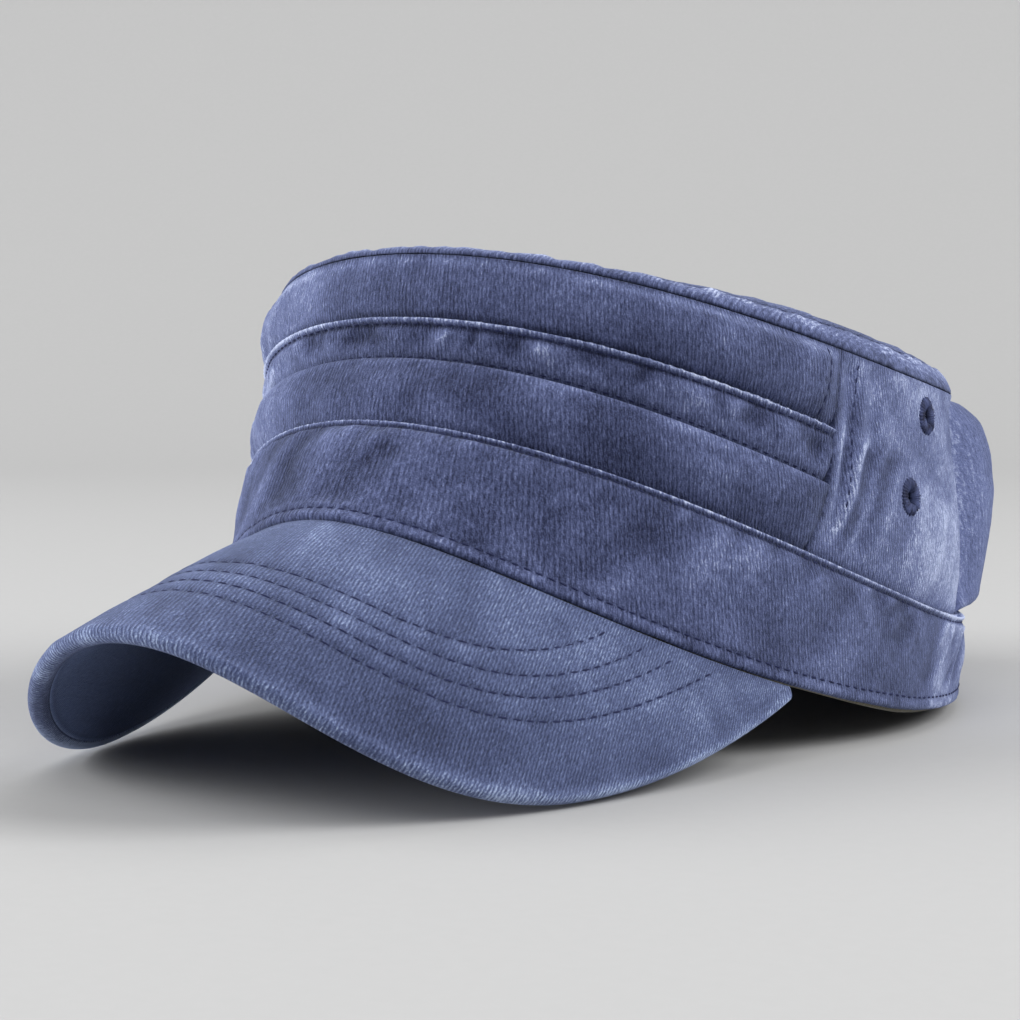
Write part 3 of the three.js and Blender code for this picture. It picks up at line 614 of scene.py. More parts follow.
def finish_piece(piece, material, slot, *nodes):
    """Gives a piece its look and its body, and hides the solids that it stands for. Its slot is not used."""
    piece.data.materials.clear()
    piece.data.materials.append(material)
    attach(piece, "root")
    if nodes:
        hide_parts(*nodes)


# Materials

def linear(red, green, blue):
    """A colour as it looks on screen, out of 255, made linear."""
    def one(value):
        value = value / 255
        return value / 12.92 if value <= 0.04045 else ((value + 0.055) / 1.055) ** 2.4
    return (one(red), one(green), one(blue), 1)


def set_inputs(node, values):
    for name, value in values.items():
        node.inputs[name].default_value = value


class Look:
    """Adds nodes to one material and joins them."""

    def __init__(self, name):
        self.material = bpy.data.materials.new(name)
        self.material.use_nodes = True
        self.tree = self.material.node_tree
        self.shader = self.tree.nodes["Principled BSDF"]

    def add(self, kind, **settings):
        node = self.tree.nodes.new(kind)
        for key, value in settings.items():
            setattr(node, key, value)
        return node

    def join(self, source, target):
        self.tree.links.new(source, target)

    def sum(self, *parts):
        """Adds parts, each (socket, weight, middle), into one value."""
        total = None
        for socket, weight, middle in parts:
            scaled = self.add("ShaderNodeMath", operation="MULTIPLY_ADD")
            self.join(socket, scaled.inputs[0])
            scaled.inputs[1].default_value = weight
            if total is None:
                scaled.inputs[2].default_value = -weight * middle
                total = scaled.outputs[0]
            else:
                self.join(total, scaled.inputs[2])
                if middle:
                    shifted = self.add("ShaderNodeMath", operation="SUBTRACT")
                    self.join(scaled.outputs[0], shifted.inputs[0])
                    shifted.inputs[1].default_value = weight * middle
                    total = shifted.outputs[0]
                else:
                    total = scaled.outputs[0]
        return total

    def noise(self, vector, scale, detail, rough=0.6, distortion=0.0):
        node = self.add("ShaderNodeTexNoise")
        set_inputs(node, {"Scale": scale, "Detail": detail, "Roughness": rough, "Distortion": distortion})
        self.join(vector, node.inputs["Vector"])
        return node.outputs["Fac"]

    def turned(self, vector, scale=(1, 1, 1), turn=0.0):
        node = self.add("ShaderNodeMapping")
        set_inputs(node, {"Scale": scale, "Rotation": (0, 0, math.radians(turn))})
        self.join(vector, node.inputs["Vector"])
        return node.outputs["Vector"]

    def colour(self, value, stops):
        """Colours the surface by a value, through stops that are each a place and a screen colour."""
        ramp = self.add("ShaderNodeValToRGB")
        marks = ramp.color_ramp.elements
        marks[0].position, marks[0].color = stops[0][0], linear(*stops[0][1])
        marks[1].position, marks[1].color = stops[-1][0], linear(*stops[-1][1])
        for position, shade in stops[1:-1]:
            marks.new(position).color = linear(*shade)
        self.join(value, ramp.inputs["Fac"])
        self.join(ramp.outputs["Color"], self.shader.inputs["Base Color"])

    def relief(self, height, strength, distance):
        node = self.add("ShaderNodeBump")
        set_inputs(node, {"Strength": strength, "Distance": distance})
        self.join(height, node.inputs["Height"])
        self.join(node.outputs["Normal"], self.shader.inputs["Normal"])


def washed_cotton(name, stops, rib_turn, rib_period, rib_depth, streak_share, thread_share,
                  fuzz_share, patch_share):
    """Faded twill: ribs and streaks along the weave, patches of fading, and the tone attribute's wear,
    painted light and painted shade.
    """
    look = Look(name)
    weave = look.add("ShaderNodeUVMap", uv_map="cloth_way").outputs["UV"]
    place = look.add("ShaderNodeTexCoord").outputs["Object"]
    tone = look.add("ShaderNodeAttribute", attribute_name="tone").outputs["Fac"]
    ribs = look.add("ShaderNodeTexWave", wave_type="BANDS", bands_direction="X")
    set_inputs(ribs, {"Scale": 0.314 / rib_period, "Distortion": 3.0, "Detail": 2.0, "Detail Scale": 3.0})
    look.join(look.turned(weave, turn=rib_turn), ribs.inputs["Vector"])
    streaks = look.noise(look.turned(weave, (17, 2.4, 1), rib_turn), 1.0, 3, 0.65)
    threads = look.noise(look.turned(weave, (30, 8, 1), rib_turn), 1.0, 2, 0.6, 0.5)
    fuzz = look.noise(weave, 34, 3, 0.7)
    grain = look.noise(look.turned(weave, (9, 6, 1)), 1.0, 4, 0.7)
    patches = look.noise(place, 55, 4, 0.6, 0.4)
    broad = look.noise(place, 16, 2, 0.5)
    value = look.sum(
        (tone, 0.33, -0.5 / 0.33),
        (ribs.outputs["Fac"], rib_depth, 0.5),
        (streaks, streak_share, 0.5),
        (threads, thread_share, 0.5),
        (fuzz, fuzz_share, 0.5),
        (grain, 0.45, 0.5),
        (patches, patch_share, 0.5),
        (broad, 0.3, 0.5),
    )
    look.colour(value, stops)
    height = look.sum(
        (ribs.outputs["Fac"], 1.5 * rib_depth, 0.5),
        (streaks, 0.3, 0.5),
        (threads, 0.8, 0.5),
        (fuzz, 0.5, 0.5),
        (grain, 0.4, 0.5),
    )
    look.relief(height, 0.8, 0.0005)
    look.join(look.sum((patches, 0.14, -0.84 / 0.14)), look.shader.inputs["Roughness"])
    set_inputs(look.shader, {"Specular IOR Level": 0.1, "Sheen Weight": 0.25, "Sheen Roughness": 0.5,
                             "Sheen Tint": (0.62, 0.72, 1.0, 1.0)})
    return look.material


CROWN_STOPS = [
    (0.0, (24, 27, 50)),
    (0.25, (51, 57, 87)),
    (0.5, (81, 89, 126)),
    (0.72, (111, 121, 163)),
    (1.0, (198, 208, 238)),
]
BRIM_STOPS = [
    (0.0, (25, 29, 51)),
    (0.25, (47, 54, 83)),
    (0.5, (72, 81, 116)),
    (0.72, (100, 112, 151)),
    (1.0, (174, 190, 224)),
]
crown_cotton = washed_cotton("washed_crown_cotton", CROWN_STOPS, -2, 0.085, 0.14, 0.5, 0.8, 0.75, 0.55)
back_cotton = washed_cotton("washed_back_cotton", CROWN_STOPS, -2, 0.085, 0.06, 0.25, 0.4, 0.45, 0.3)
brim_cotton = washed_cotton("washed_brim_cotton", BRIM_STOPS, -12, 0.084, 0.24, 0.3, 0.75, 0.75, 0.4)

UNDER_STOPS = [
    (0.0, (36, 45, 70)),
    (0.4, (76, 91, 130)),
    (0.6, (96, 113, 158)),
    (1.0, (160, 178, 220)),
]
under_cotton = washed_cotton("navy_under_cotton", UNDER_STOPS, -13, 0.09, 0.14, 0.2, 0.2, 0.35, 0.2)

TAPE_STOPS = [
    (0.0, (70, 66, 52)),
    (0.5, (118, 112, 92)),
    (1.0, (160, 154, 132)),
]
olive_tape = washed_cotton("olive_woven_tape", TAPE_STOPS, 45, 0.08, 0.24, 0.18, 0.1, 0.3, 0.12)


def stitch_thread(name, fade_scale, fade_share, dark, pale):
    """Twisted thread that has faded in places."""
    look = Look(name)
    place = look.add("ShaderNodeTexCoord").outputs["Object"]
    twist = look.noise(place, 2600, 3, 0.6)
    fading = look.noise(place, fade_scale, 3, 0.5)
    value = look.sum((twist, 0.6, -0.2), (fading, fade_share, 0.5))
    look.colour(value, [(0.1, dark), (0.9, pale)])
    look.relief(twist, 0.5, 0.0001)
    set_inputs(look.shader, {"Roughness": 0.75, "Specular IOR Level": 0.25})
    return look.material


navy_thread = stitch_thread("navy_sewing_thread", 130, 0.5, (16, 20, 50), (46, 55, 98))
eyelet_thread = stitch_thread("worn_eyelet_thread", 420, 2.2, (22, 26, 52), (80, 90, 132))


# The wall's panels

def band_round(degrees, level):
    return band_face(half_turn(degrees), level)


band = wall_panel("band_cloth", HEM, BAND_TOP, lambda level: 0 * level, lambda level: 0 * level + 360,
                  band_round, BAND_CLOTH, (1.0, 0.6, 1.0), closed=True)
finish_piece(band, crown_cotton, "washed_cotton", "band")


def front_end(level):
    return side_seam(level) + SEAM_OVERLAP


def front_start(level):
    return -front_end(level)


# Each front panel's foot and head level, its face and how round its head is
for part, foot, head, face, head_round in (
        ("front_lower", 0.8, TUCK, lower_face, 0.8),
        ("front_strip", 1.3, STRIP_TOP, strip_face, 0.5),
        ("front_upper", 2.65, WALL_TOP, upper_face, 0.3)):
    panel = wall_panel(part + "_cloth", foot, head, front_start, front_end, face,
                       CROWN_CLOTH, (0.8, head_round, 0.3))
    finish_piece(panel, crown_cotton, "washed_cotton", part)


def side_start(level):
    return side_seam(level) - SEAM_OVERLAP


def side_end(level):
    return 0 * np.asarray(level) + REAR_SEAM + SEAM_OVERLAP


side_left = wall_panel("side_left_cloth", 0.8, WALL_TOP, side_start, side_end, side_face,
                       CROWN_CLOTH, (0.8, 0.3, 0.3), step=SIDE_STEP)
side_right = wall_panel("side_right_cloth", 0.8, WALL_TOP,
                        lambda level: -side_end(level), lambda level: -side_start(level),
                        lambda degrees, level: side_face(-degrees, level),
                        CROWN_CLOTH, (0.8, 0.3, 0.3), step=SIDE_STEP)
finish_piece(side_left, crown_cotton, "washed_cotton", "side_panel_left")
finish_piece(side_right, crown_cotton, "washed_cotton", "side_panel_right")

back = wall_panel("back_cloth", 0.8, WALL_TOP,
                  lambda level: 0 * np.asarray(level) + REAR_SEAM - SEAM_OVERLAP,
                  lambda level: 0 * np.asarray(level) + 360 - REAR_SEAM + SEAM_OVERLAP,
                  back_face, CROWN_CLOTH, (0.8, 0.3, 0.5))
finish_piece(back, back_cotton, "washed_cotton", "back_panel")


# Top, brim, sweatband and eyelets

def rim_drop(share):
    """How far the top's face has rolled over towards the wall, all its cloth's thickness at the rim."""
    past = np.clip(1 - (1 - np.asarray(share)) * TOP_REACH / RIM_ROUND, 0, 1)
    return TOP_CLOTH * (1 - np.sqrt(1 - past ** 2))


def top_point(degrees, share):
    """The top's upper face at a share of the way from its middle to its rim."""
    seam = SEAMS[4]
    rim = wall(degrees, WALL_TOP + 0 * degrees)
    angle = np.radians(degrees)
    front_back = (seam["front"] + seam["back"]) / 2
    mean = (front_back + seam["side"]) / 2
    saddle = (front_back - seam["side"]) / 2
    slope = rim[..., 2] - mean - saddle * np.cos(2 * angle)
    height = mean + slope * share + saddle * np.cos(2 * angle) * share ** 2
    side = ease(mirrored_way(degrees), 10, 85)
    shoulder = 0.6 + (side - 0.6) * np.minimum(1, 1.6 * share)
    height = height + 3.5 * (1 - share ** 2.4) + 4.8 * shoulder * (1 - share ** 20)
    return np.stack([
        rim[..., 0] * share,
        seam["centre"] + (rim[..., 1] - seam["centre"]) * share,
        height + RIM_GAP + TOP_CLOTH - rim_drop(share),
    ], -1)


def top_face(degrees, share):
    inset = (1 - share) * TOP_REACH
    way = round_way(degrees)
    flat = top_point(degrees, share)
    hem_folds = cloud((way + 0.5 * inset) / 3.0, inset / 5, 141)
    inner_folds = puckers(way, np.maximum(inset - TOP_ROW_INSET, 0), 143, 4.5, 6)
    waves = clouds(flat[..., 0] / 24, flat[..., 1] / 24, 145)
    middle = ease(inset, 8, 20)
    lift = -0.45 * bump(inset - TOP_ROW_INSET, 0.7) + 0.3 * bump(inset - 2.4, 1.8)
    lift = lift + 0.6 * hem_folds * bump(inset - 2.6, 1.8)
    lift = lift + 0.8 * inner_folds * ease(inset, 5.6, 7.5) * ease(share, 0.1, 0.5)
    lift = lift + 0.9 * waves * middle
    # Painted shade in the groove of the stitched row, and the puffed strip between the rim and the row
    # lighter
    tone = 0.05 - 0.9 * bump(inset - TOP_ROW_INSET, 0.7) + 0.7 * bump(inset - 2.3, 1.4)
    # Folds and waves lighter where they rise, as wear, and darker where they sink, as painted shade, and
    # painted shade in the seam's ditch at the rim
    tone = tone + 0.7 * hem_folds * bump(inset - 2.6, 1.8) - 0.6 * painted_seam_shade(way, inset)
    tone = tone + 0.5 * inner_folds * ease(inset, 5.6, 7.5) + 0.4 * waves * middle
    return lift, tone


def top_surface(degrees, share):
    lift, tone = top_face(degrees, share)
    points = top_point(degrees, share)
    points[..., 2] += lift
    return points, tone


rim_angles = np.linspace(0, 360, 421)
inward = np.concatenate([edge_shares(85, 1.15, RIM_ROUND, 0.8, 4)[:-10], [1.0]])
degrees_grid = rim_angles[:, None] + 0 * inward[None, :]
share_grid = 1 - inward[None, :] + 0 * degrees_grid
top_points, top_tone = top_surface(degrees_grid, share_grid)
top_points[-1] = top_points[0]
top_tone[-1] = top_tone[0]
top_thickness = np.maximum(TOP_CLOTH - rim_drop(share_grid), THINNEST_CLOTH)
top = lay_cloth("top_cloth", top_points, top_tone, top_thickness, True, (0.12, 0.8, 0.8), pole=True)
finish_piece(top, crown_cotton, "washed_cotton", "top_panel")


def brim_press(along):
    """How thick the brim is towards its ends, as a share."""
    return 1 - 0.55 * ease(np.abs(along), 0.82, 1)


def brim_depth(along):
    return (BRIM_COVER_CLOTH + BRIM_UNDER_CLOTH) * brim_press(along) + GAP


def brim_stations(first, count):
    """Places along the brim, closer together at its ends, from -1 or 1 to the other end."""
    reach = np.pi / 2 * 0.98
    return BRIM_END * np.sin(np.linspace(first, -first, count) * np.pi / 2 * 0.98) / np.sin(reach)


def brim_edge(along):
    beyond = (along ** 2 - BRIM_LOW_POINT ** 2) / (1 - BRIM_LOW_POINT ** 2)
    inside = np.abs(along) < BRIM_LOW_POINT
    rise = np.where(inside, 33.4 * (1 - (along / BRIM_LOW_POINT) ** 2) ** 2, 14.6 * beyond ** 2)
    return np.stack([
        94.3 * along - 31.8 * along ** 3 + 12.2 * along ** 5,
        -175.8 + 92.0 * along ** 2 + 38.5 * along ** 4,
        rise,
    ], -1)


def brim_base(along, share):
    share = np.asarray(share)[..., None]
    inner = seam_line(SEAMS[0], along * BRIM_CORNER)
    point = inner * (1 - share) + brim_edge(along) * share
    point[..., 2] += 0.8 * 4 * share[..., 0] * (1 - share[..., 0])
    return point


def brim_normal(along, share):
    held = np.clip(share, 0.04, 0.96)
    across = brim_base(along + 0.01, held) - brim_base(along - 0.01, held)
    outward = brim_base(along, held + 0.02) - brim_base(along, held - 0.02)
    return unit(np.cross(outward, across))


def brim_top(along, share):
    """The brim's upper face, from the hem at share 0 to its edge at share 1."""
    point = brim_base(along, np.maximum(share, 0))
    held = np.clip(share, 0, 1)
    point = point + brim_normal(along, share) * (held * brim_depth(along))[..., None]
    point[..., 2] -= (GAP + 0.1) * (1 - held)
    normal = wall_normal(along * BRIM_CORNER, 0.0)
    flat = normal * np.array([1, 1, 0])
    return point + unit(flat) * np.minimum(share, 0)[..., None] * BRIM_LIP


# Each stitched row: its share from the hem to the edge in the middle, and where along the brim it ends
BRIM_ROWS = [(0.455, 0.65), (0.55, 0.72), (0.64, 0.775), (0.73, 0.85)]


def brim_row(along, row):
    """Where a stitched row of the brim lies, as a share from the hem to the edge."""
    top_share, end = BRIM_ROWS[row]
    hang = 1 - 0.05 * (1 - (along / end) ** 2)
    return top_share * hang * np.maximum(1 - (np.abs(along) / end) ** 6, 0) ** 0.8


def brim_width(along):
    return np.linalg.norm(brim_base(along, 1 + 0 * along) - brim_base(along, 0 * along), axis=-1)


def brim_cover_relief(along, share):
    width = brim_width(along)
    way = along * 120
    inset = share * width
    outset = (1 - share) * width
    height = 0 * share
    tone = 0.02 + 0 * share
    for row in range(len(BRIM_ROWS)):
        there = ease(BRIM_ROWS[row][1] - np.abs(along), 0, 0.03)
        gap = inset - brim_row(along, row) * width
        height = height - 0.32 * bump(gap, 0.75) * there
        # Painted shade in the groove of each stitched row, and a little lighter between the rows
        tone = tone - 0.42 * bump(gap, 0.8) * there + 0.10 * bump(gap - 2.2, 1.2) * there
    waves = clouds(way / 26, inset / 20, 161)
    small = cloud((way - 0.4 * inset) / 5, inset / 9, 163)
    height = height + (0.3 * waves + 0.12 * small) * ease(share, 0.02, 0.15)
    # Lighter along the outer edge: wear all round, and painted light on the brim's -x side, which faces the
    # left lamp
    where = 0.5 + 0.9 * ease(-along, 0.45, 0.8) + 0.45 * ease(np.abs(along), 0.3, 0.8)
    worn_and_lit_edge = bump(outset, 3.0) * where
    # Waves lighter where they rise, as wear, and darker where they sink, as painted shade
    tone = tone + 0.35 * waves + 0.25 * small + 0.8 * worn_and_lit_edge
    # Painted light on the brim's -x half, which faces the left lamp
    tone = tone + 0.7 * ease(-along, 0.45, 0.85) * ease(share, 0.25, 0.8)
    tone = tone + 0.22 * (1 - ease(share, 0.2, 0.6))
    # Painted shade along the hem, under the edge of the band
    tone = tone - 0.5 * bump(inset + 0.3, 1.2)
    tone = tone - 0.32 * ease(along, -0.1, 0.5) * ease(share, 0.35, 0.8) * (1 - ease(share, 0.9, 0.97))
    return height, tone


def brim_cover_points():
    """The cover's outer face: out from the hem, round the edge, and back under it as a lip."""
    along = brim_stations(1, 250)
    radius = brim_depth(along) / 2
    width = brim_width(along)
    flow = 1 - radius / width
    steps = np.concatenate([[-1, -0.6, -0.2], np.linspace(0, 1, 66)])
    share = np.where(steps < 0, steps, flow[:, None] * steps)
    u = along[:, None] + 0 * share
    height, tone = brim_cover_relief(u, share)
    flat = brim_top(u, share) + brim_normal(u, share) * height[..., None]
    last = brim_top(along, flow)
    normal = brim_normal(along, flow)
    outward = unit(brim_top(along, flow + 0.01) - brim_top(along, flow - 0.01))
    centre = last - normal * radius[:, None]
    turns = np.radians(np.linspace(0, 180, 13)[1:])
    roll = centre[:, None] + radius[:, None, None] * (
        normal[:, None] * np.cos(turns)[None, :, None] + outward[:, None] * np.sin(turns)[None, :, None])
    # The rolled edge lighter where it faces out, and painted light on its -x side, which faces the left lamp
    roll_tone = tone[:, -1:] + 0.3 * np.sin(turns)[None, :] + 1.0 * ease(-along, 0.4, 0.7)[:, None]
    back_steps = np.linspace(0, 1, 5)[1:] * 1.9
    under = centre - normal * radius[:, None]
    lip = under[:, None] - outward[:, None] * (back_steps[None, :, None] * brim_press(along)[:, None, None])
    # Painted shade as the lip turns in under the brim
    lip_tone = roll_tone[:, -1:] - 0.2 - 1.1 * ease(back_steps, 0.9, 1.9)[None, :]
    points = np.concatenate([flat, roll, lip], 1)
    return points, np.concatenate([tone, roll_tone, lip_tone], 1), along


cover_points, cover_tone, cover_along = brim_cover_points()
cover_cloth = 1.1 * brim_press(cover_along)[:, None] + 0 * cover_tone
brim_cover = lay_cloth("brim_cover_cloth", cover_points, cover_tone, cover_cloth, False, lining=-0.2)
finish_piece(brim_cover, brim_cotton, "washed_cotton", "brim_cover")


def brim_under_points():
    along = brim_stations(-1, 220)
    width = brim_width(along)
    lip = BRIM_LIP + GAP + 0.5
    limit = 1 - np.minimum(lip, width * lip / (lip + BRIM_LIP)) / width
    length = float(width.max())
    steps = edge_shares(length, 1.3, 0.6, 0.6)
    share = limit[:, None] * steps[None, :]
    u = along[:, None] + 0 * share
    depth = brim_depth(u) - 0.25 * ease(steps, 0.9, 1.0)[None, :]
    points = brim_top(u, share) - brim_normal(u, share) * depth[..., None]
    inset = (limit[:, None] - share) * width[:, None]
    waves = clouds(u * 5, share * 4, 181)
    tone = 0.3 * waves + 1.7 * bump(inset - 0.3, 0.4) - 0.4 * bump(inset - 1.6, 0.8)
    return points, tone, along


under_points, under_tone, under_along = brim_under_points()
under_cloth = 1.1 * brim_press(under_along)[:, None] + 0 * under_tone
brim_under = lay_cloth("brim_under_cloth", under_points, under_tone, under_cloth, False, lining=0.0)
finish_piece(brim_under, under_cotton, "navy_under_cloth", "brim_under")


def sweatband_points():
    degrees = np.linspace(0, 360, 481)
    level = edge_shares(38, 1.4, 0.6, 0.6)[None, :] * 1.25 + 0 * degrees[:, None]
    degrees = degrees[:, None] + 0 * level
    out = soft_steps(level, [0, 0.55, 0.78, 1.25], [-2.8, -2.8, -4.5, -4.5], 0.04)
    normal = wall_normal(degrees, level)
    flat = unit(normal * np.array([1, 1, 0]))
    lean = np.linalg.norm(normal[..., :2], axis=-1)
    low = 1 - ease(level, 0.0, 0.3)
    way_out = normal * (1 - low)[..., None] + (flat / lean[..., None]) * low[..., None]
    points = wall(degrees, level) + way_out * out[..., None]
    side = mirrored_way(degrees)
    drop = 0.7 * ease(side, BRIM_CORNER + 4, 90) * (1 - ease(side, 100, 125))
    foot = 1 - ease(level, 0, 0.06)
    points[..., 2] += (GAP * ease(side, 105, 130) - drop) * foot
    tone = 0.1 + 0.2 * clouds(round_way(degrees) / 16, level * 3, 191)
    points[-1] = points[0]
    tone[-1] = tone[0]
    return points, tone


tape_points, tape_tone = sweatband_points()
sweatband = lay_cloth("sweatband_tape", tape_points, tape_tone, SWEATBAND_CLOTH, True, lining=0.0)
finish_piece(sweatband, olive_tape, "olive_tape", "sweatband")


def eyelet_place(side, angle, level):
    """Where an eyelet sits on its side panel, and which way it faces."""
    angle, level = np.array([angle]), np.array([level])
    point = off_wall(angle, level, side_face(angle, level)[0])[0]
    normal = wall_normal(angle, level)[0]
    if side == "right":
        point, normal = point * [-1, 1, 1], normal * [-1, 1, 1]
    return point, normal


def worked_eyelet(side, name, angle, level):
    """A ring of close thread, worked round a small hole."""
    point, normal = eyelet_place(side, angle, level)
    away_from_edit()
    middle = (EYELET_RADIUS + EYELET_HOLE_RADIUS) / 2
    thick = (EYELET_RADIUS - EYELET_HOLE_RADIUS) / 2
    bpy.ops.mesh.primitive_torus_add(
        major_segments=132, minor_segments=16, major_radius=middle, minor_radius=thick)
    ring = bpy.context.object
    ring.name = "eyelet_thread_" + side + "_" + name
    ring.data.name = ring.name
    place = read_points(ring)
    turn = np.arctan2(place[:, 1], place[:, 0])
    from_middle = np.hypot(place[:, 0], place[:, 1])
    thread = 1 + 0.16 * np.cos(33 * turn) + 0.22 * cloud(turn * 7, 0.5, 201)
    reach = middle + (from_middle - middle) * thread
    height = place[:, 2] * 0.5 * thread - 0.2
    height = height - 0.6 * np.clip(1 - (from_middle - EYELET_HOLE_RADIUS) / 1.0, 0, 1)
    facing = Vector(normal).to_track_quat("Z", "Y").to_matrix()
    local = np.stack([reach * np.cos(turn), reach * np.sin(turn), height], -1)
    set_points(ring, to_frame(local @ np.array(facing).T + point))
    bpy.ops.object.shade_smooth()
    finish_piece(ring, eyelet_thread, "navy_thread", "eyelet_" + side + "_" + name)
    return point, normal


def cut_eyelet_hole(cloth_piece, point, normal):
    """Punches the hole of an eyelet through the side panel."""
    away_from_edit()
    centre = to_frame(point)
    bpy.ops.mesh.primitive_cylinder_add(
        vertices=32, radius=(EYELET_BARREL_RADIUS + 0.2) / 1000, depth=0.012, location=tuple(centre))
    punch = bpy.context.object
    punch.rotation_euler = Vector(normal).to_track_quat("Z", "Y").to_euler()
    away_from_edit()
    cloth_piece.select_set(True)
    bpy.context.view_layer.objects.active = cloth_piece
    cut = cloth_piece.modifiers.new("eyelet_hole", "BOOLEAN")
    cut.operation = "DIFFERENCE"
    cut.solver = "EXACT"
    cut.object = punch
    bpy.ops.object.modifier_apply(modifier=cut.name)
    bpy.data.objects.remove(punch, do_unlink=True)


for eyelet_name, eyelet_angle, eyelet_level in EYELETS:
    for side, cloth_piece in (("left", side_left), ("right", side_right)):
        spot, facing_out = worked_eyelet(side, eyelet_name, eyelet_angle, eyelet_level)
        cut_eyelet_hole(cloth_piece, spot, facing_out)


# Stitches

def first_stitch():
    """One short stitch along x, plump in the middle and with its ends pulled into the cloth."""
    away_from_edit()
    bpy.ops.mesh.primitive_uv_sphere_add(segments=6, ring_count=6, radius=0.5)
    stitch = bpy.context.object
    stitch.name = "single_stitch"
    place = read_points(stitch)[:, [2, 0, 1]]
    along = place[:, 0] * 2
    plump = (1 - np.abs(along) ** 4 * 0.35)
    place = np.stack([
        along * STITCH_LENGTH / 2,
        place[:, 1] * STITCH_WIDTH * plump,
        place[:, 2] * STITCH_HEIGHT * plump - 0.14 * along ** 2,
    ], -1) / 1000
    set_points(stitch, place)
    bpy.ops.object.mode_set(mode="EDIT")
    bpy.ops.mesh.select_all(action="SELECT")
    bpy.ops.mesh.normals_make_consistent(inside=False)
    bpy.ops.object.mode_set(mode="OBJECT")
    bpy.ops.object.shade_smooth()
    return stitch


single = first_stitch()


def sew(name, line, normals, pitch=STITCH_PITCH, raise_by=0.0, longer=1.0):
    """Stitches copied along a line on the cloth, none quite like the next, joined as one row."""
    line = np.asarray(line)
    run = run_length(line[:, None, :], 0)[:, 0]
    count = max(2, int(run[-1] / pitch))
    places = (np.arange(count) + 0.5) * run[-1] / count

    def along_line(values, at):
        return np.stack([np.interp(at, run, values[:, axis]) for axis in range(3)], -1)

    jitter = 0.12 * (2 * hashed(np.arange(count), 3, len(name)) - 1)
    here = along_line(line, places + jitter)
    ahead = unit(along_line(line, places + 0.6) - along_line(line, places - 0.6))
    facing = along_line(normals, places)
    facing = unit(facing - ahead * np.sum(facing * ahead, -1, keepdims=True))
    slant = 0.09 * (2 * hashed(np.arange(count), 5, len(name)) - 1)
    ahead = unit(ahead + np.cross(facing, ahead) * slant[:, None])
    beside = np.cross(facing, ahead)
    lengths = longer * (0.9 + 0.2 * hashed(np.arange(count), 7, len(name)))
    row = []
    away_from_edit()
    for index in range(count):
        copy = bpy.data.objects.new(name + "_" + str(index), single.data.copy())
        bpy.context.scene.collection.objects.link(copy)
        turn = Matrix((Vector(ahead[index]), Vector(beside[index]), Vector(facing[index]))).transposed()
        spot = to_frame(here[index] + facing[index] * raise_by)
        stretch = Matrix.Diagonal((lengths[index], 1, 1, 1))
        copy.data.transform(Matrix.Translation(Vector(spot)) @ turn.to_4x4() @ stretch)
        copy.select_set(True)
        row.append(copy)
    bpy.context.view_layer.objects.active = row[0]
    bpy.ops.object.join()
    seam = bpy.context.object
    seam.name = name
    seam.data.name = name
    finish_piece(seam, navy_thread, "navy_thread")


def wall_row(name, face, degrees, level, raise_by=0.05, **settings):
    """A stitched row on a panel of the wall, along angles and levels."""
    line = off_wall(degrees, level, face(degrees, level)[0])
    sew(name, line, wall_normal(degrees, level), raise_by=raise_by, **settings)


def level_below(degrees, level, down):
    """The level that lies so many millimetres below another."""
    return level - down / wall_rise(degrees, level + 0 * degrees)


full_turn = np.linspace(0, 360, 721)


wall_row("band_top_stitches", band_round, full_turn, level_below(full_turn, 1.0 + 0 * full_turn, 1.6))
wall_row("hem_stitches", band_round, full_turn, 3.0 / wall_rise(full_turn, 0.1 + 0 * full_turn))
upper_ends = np.linspace(-69.6, 69.6, 300)
wall_row("strip_top_stitches", strip_face, upper_ends, level_below(upper_ends, 3.0 + 0 * upper_ends, 1.6))
tuck_ends = np.linspace(-67.5, 67.5, 300)
wall_row("strip_foot_stitches", strip_face, tuck_ends,
         2.0 + 0.75 / wall_rise(tuck_ends, 2.05 + 0 * tuck_ends), raise_by=-0.05)

for side, sign in (("left", 1), ("right", -1)):
    climb = np.linspace(3.08, 3.90, 60)
    beside = side_seam(climb) - UPRIGHT_ROW / MM_PER_DEGREE
    wall_row("upright_stitches_" + side, lambda degrees, level: upper_face(np.abs(degrees), level),
             sign * beside, climb)
    climb = np.linspace(1.7, 3.88, 90)
    wall_row("side_stitches_" + side, lambda degrees, level: side_face(np.abs(degrees), level),
             sign * (side_seam(climb) + SIDE_ROW / MM_PER_DEGREE), climb, raise_by=-0.1)

rim_share = 1 - TOP_ROW_INSET / TOP_REACH + 0 * full_turn
rim_up = np.stack([0 * full_turn, 0 * full_turn, 1 + 0 * full_turn], -1)
sew("top_rim_stitches", top_surface(full_turn, rim_share)[0], rim_up, raise_by=0.08)

for row in range(len(BRIM_ROWS)):
    end = BRIM_ROWS[row][1]
    sweep = np.linspace(-end * 0.985, end * 0.985, 400)
    shares = brim_row(sweep, row)
    normals = brim_normal(sweep, shares)
    line = brim_top(sweep, shares) + normals * brim_cover_relief(sweep, shares)[0][:, None]
    sew("brim_stitches_" + str(row + 1), line, normals, pitch=3.2, raise_by=0.06, longer=1.3)

bpy.data.objects.remove(single, do_unlink=True)


# The camera, the floor and the lights

VIEW_TURN = math.radians(32.66)
VIEW_RISE = math.radians(4.62)
VIEW_DISTANCE = 0.6179
LENS = 90.3
AIM_SIDEWAYS = -0.02331
AIM_HEIGHT = 0.0468


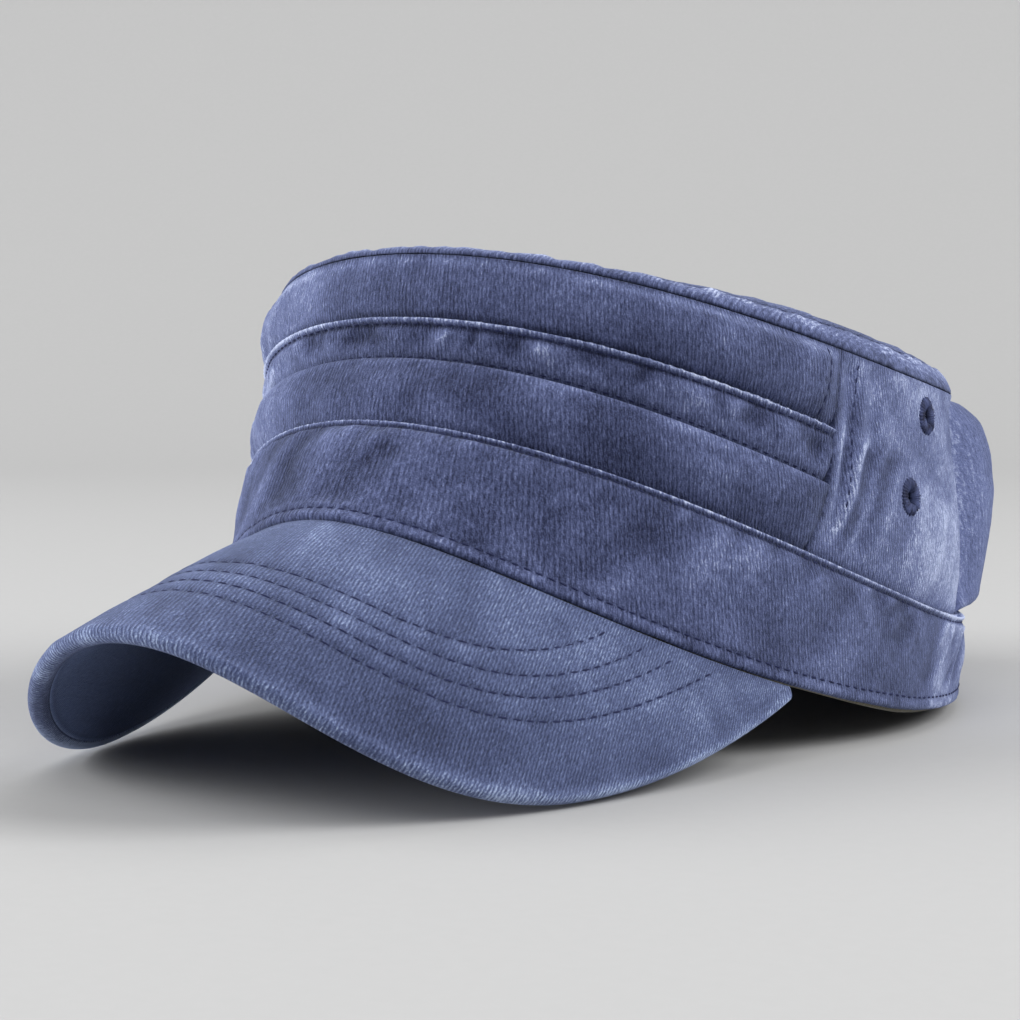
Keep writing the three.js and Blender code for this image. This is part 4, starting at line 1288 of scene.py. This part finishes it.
def place_camera():
    """Stands the camera where the photograph was taken from."""
    right = Vector((math.cos(VIEW_TURN), math.sin(VIEW_TURN), 0))
    back_way = Vector((
        math.sin(VIEW_TURN) * math.cos(VIEW_RISE),
        -math.cos(VIEW_TURN) * math.cos(VIEW_RISE),
        math.sin(VIEW_RISE),
    ))
    up = back_way.cross(right)
    target = Vector((0, MODEL_SHIFT / 1000, AIM_HEIGHT)) + right * AIM_SIDEWAYS
    data = bpy.data.cameras.new("photo_camera")
    data.lens = LENS
    data.sensor_width = 36
    data.clip_start = 0.01
    camera = bpy.data.objects.new("photo_camera", data)
    bpy.context.scene.collection.objects.link(camera)
    turn = Matrix((right, up, back_way)).transposed().to_4x4()
    camera.matrix_world = Matrix.Translation(target + back_way * VIEW_DISTANCE) @ turn
    bpy.context.scene.camera = camera


def soft_light(name, place, aim, size, power):
    """A large square lamp that looks at a point."""
    away_from_edit()
    bpy.ops.object.light_add(type="AREA", location=place)
    lamp = bpy.context.object
    lamp.name = name
    lamp.data.size = size
    lamp.data.energy = power
    look = Vector(aim) - Vector(place)
    lamp.rotation_euler = look.to_track_quat("-Z", "Y").to_euler()


def pale_sweep():
    """A pale floor that curves up behind the cap."""
    away_from_edit()
    bpy.ops.mesh.primitive_grid_add(x_subdivisions=2, y_subdivisions=60, size=1)
    sweep = bpy.context.object
    sweep.name = "pale_sweep"
    depth = np.concatenate([np.linspace(-2.5, 0.9, 21), np.full(40, 0.9)])
    rise = np.zeros(61)
    bend = np.radians(np.linspace(0, 90, 31))
    depth[20:51] = 0.9 + 0.9 * np.sin(bend)
    rise[20:51] = 0.9 * (1 - np.cos(bend))
    depth[50:] = 1.8
    rise[50:] = np.linspace(0.9, 3.5, 11)
    across = np.array([-3.2, 0, 3.2])
    right = np.array([math.cos(VIEW_TURN), math.sin(VIEW_TURN), 0])
    away = np.array([-math.sin(VIEW_TURN), math.cos(VIEW_TURN), 0])
    place = np.array([
        right * across[column] + away * depth[row] + np.array([0, 0, rise[row] - 0.0002])
        for row in range(61) for column in range(3)
    ])
    set_points(sweep, place)
    bpy.ops.object.shade_smooth()
    paper = Look("pale_paper")
    speckle = paper.noise(paper.add("ShaderNodeTexCoord").outputs["Object"], 300, 2, 0.5)
    shade = paper.add("ShaderNodeValToRGB")
    shade.color_ramp.elements[0].color = (0.44, 0.44, 0.44, 1)
    shade.color_ramp.elements[1].color = (0.455, 0.455, 0.455, 1)
    paper.join(speckle, shade.inputs["Fac"])
    paper.join(shade.outputs["Color"], paper.shader.inputs["Base Color"])
    set_inputs(paper.shader, {"Roughness": 0.95, "Specular IOR Level": 0.1})
    sweep.data.materials.append(paper.material)


place_camera()
pale_sweep()
soft_light("key_light", (1.45, 0.55, 1.15), (0, 0, 0.05), 1.1, 31)
soft_light("left_light", (-1.4, -0.85, 0.65), (0, 0, 0.05), 1.2, 34)
soft_light("front_light", (0.35, -1.3, 1.7), (0, 0, 0.05), 1.4, 12)
soft_light("back_light", (-0.2, 1.2, 1.9), (0, 0.3, 0), 1.6, 9)
world = bpy.data.worlds.new("studio")
bpy.context.scene.world = world
world.use_nodes = True
set_inputs(world.node_tree.nodes["Background"], {"Color": (1, 1, 1, 1), "Strength": 0.42})
bpy.context.scene.view_settings.view_transform = "Standard"
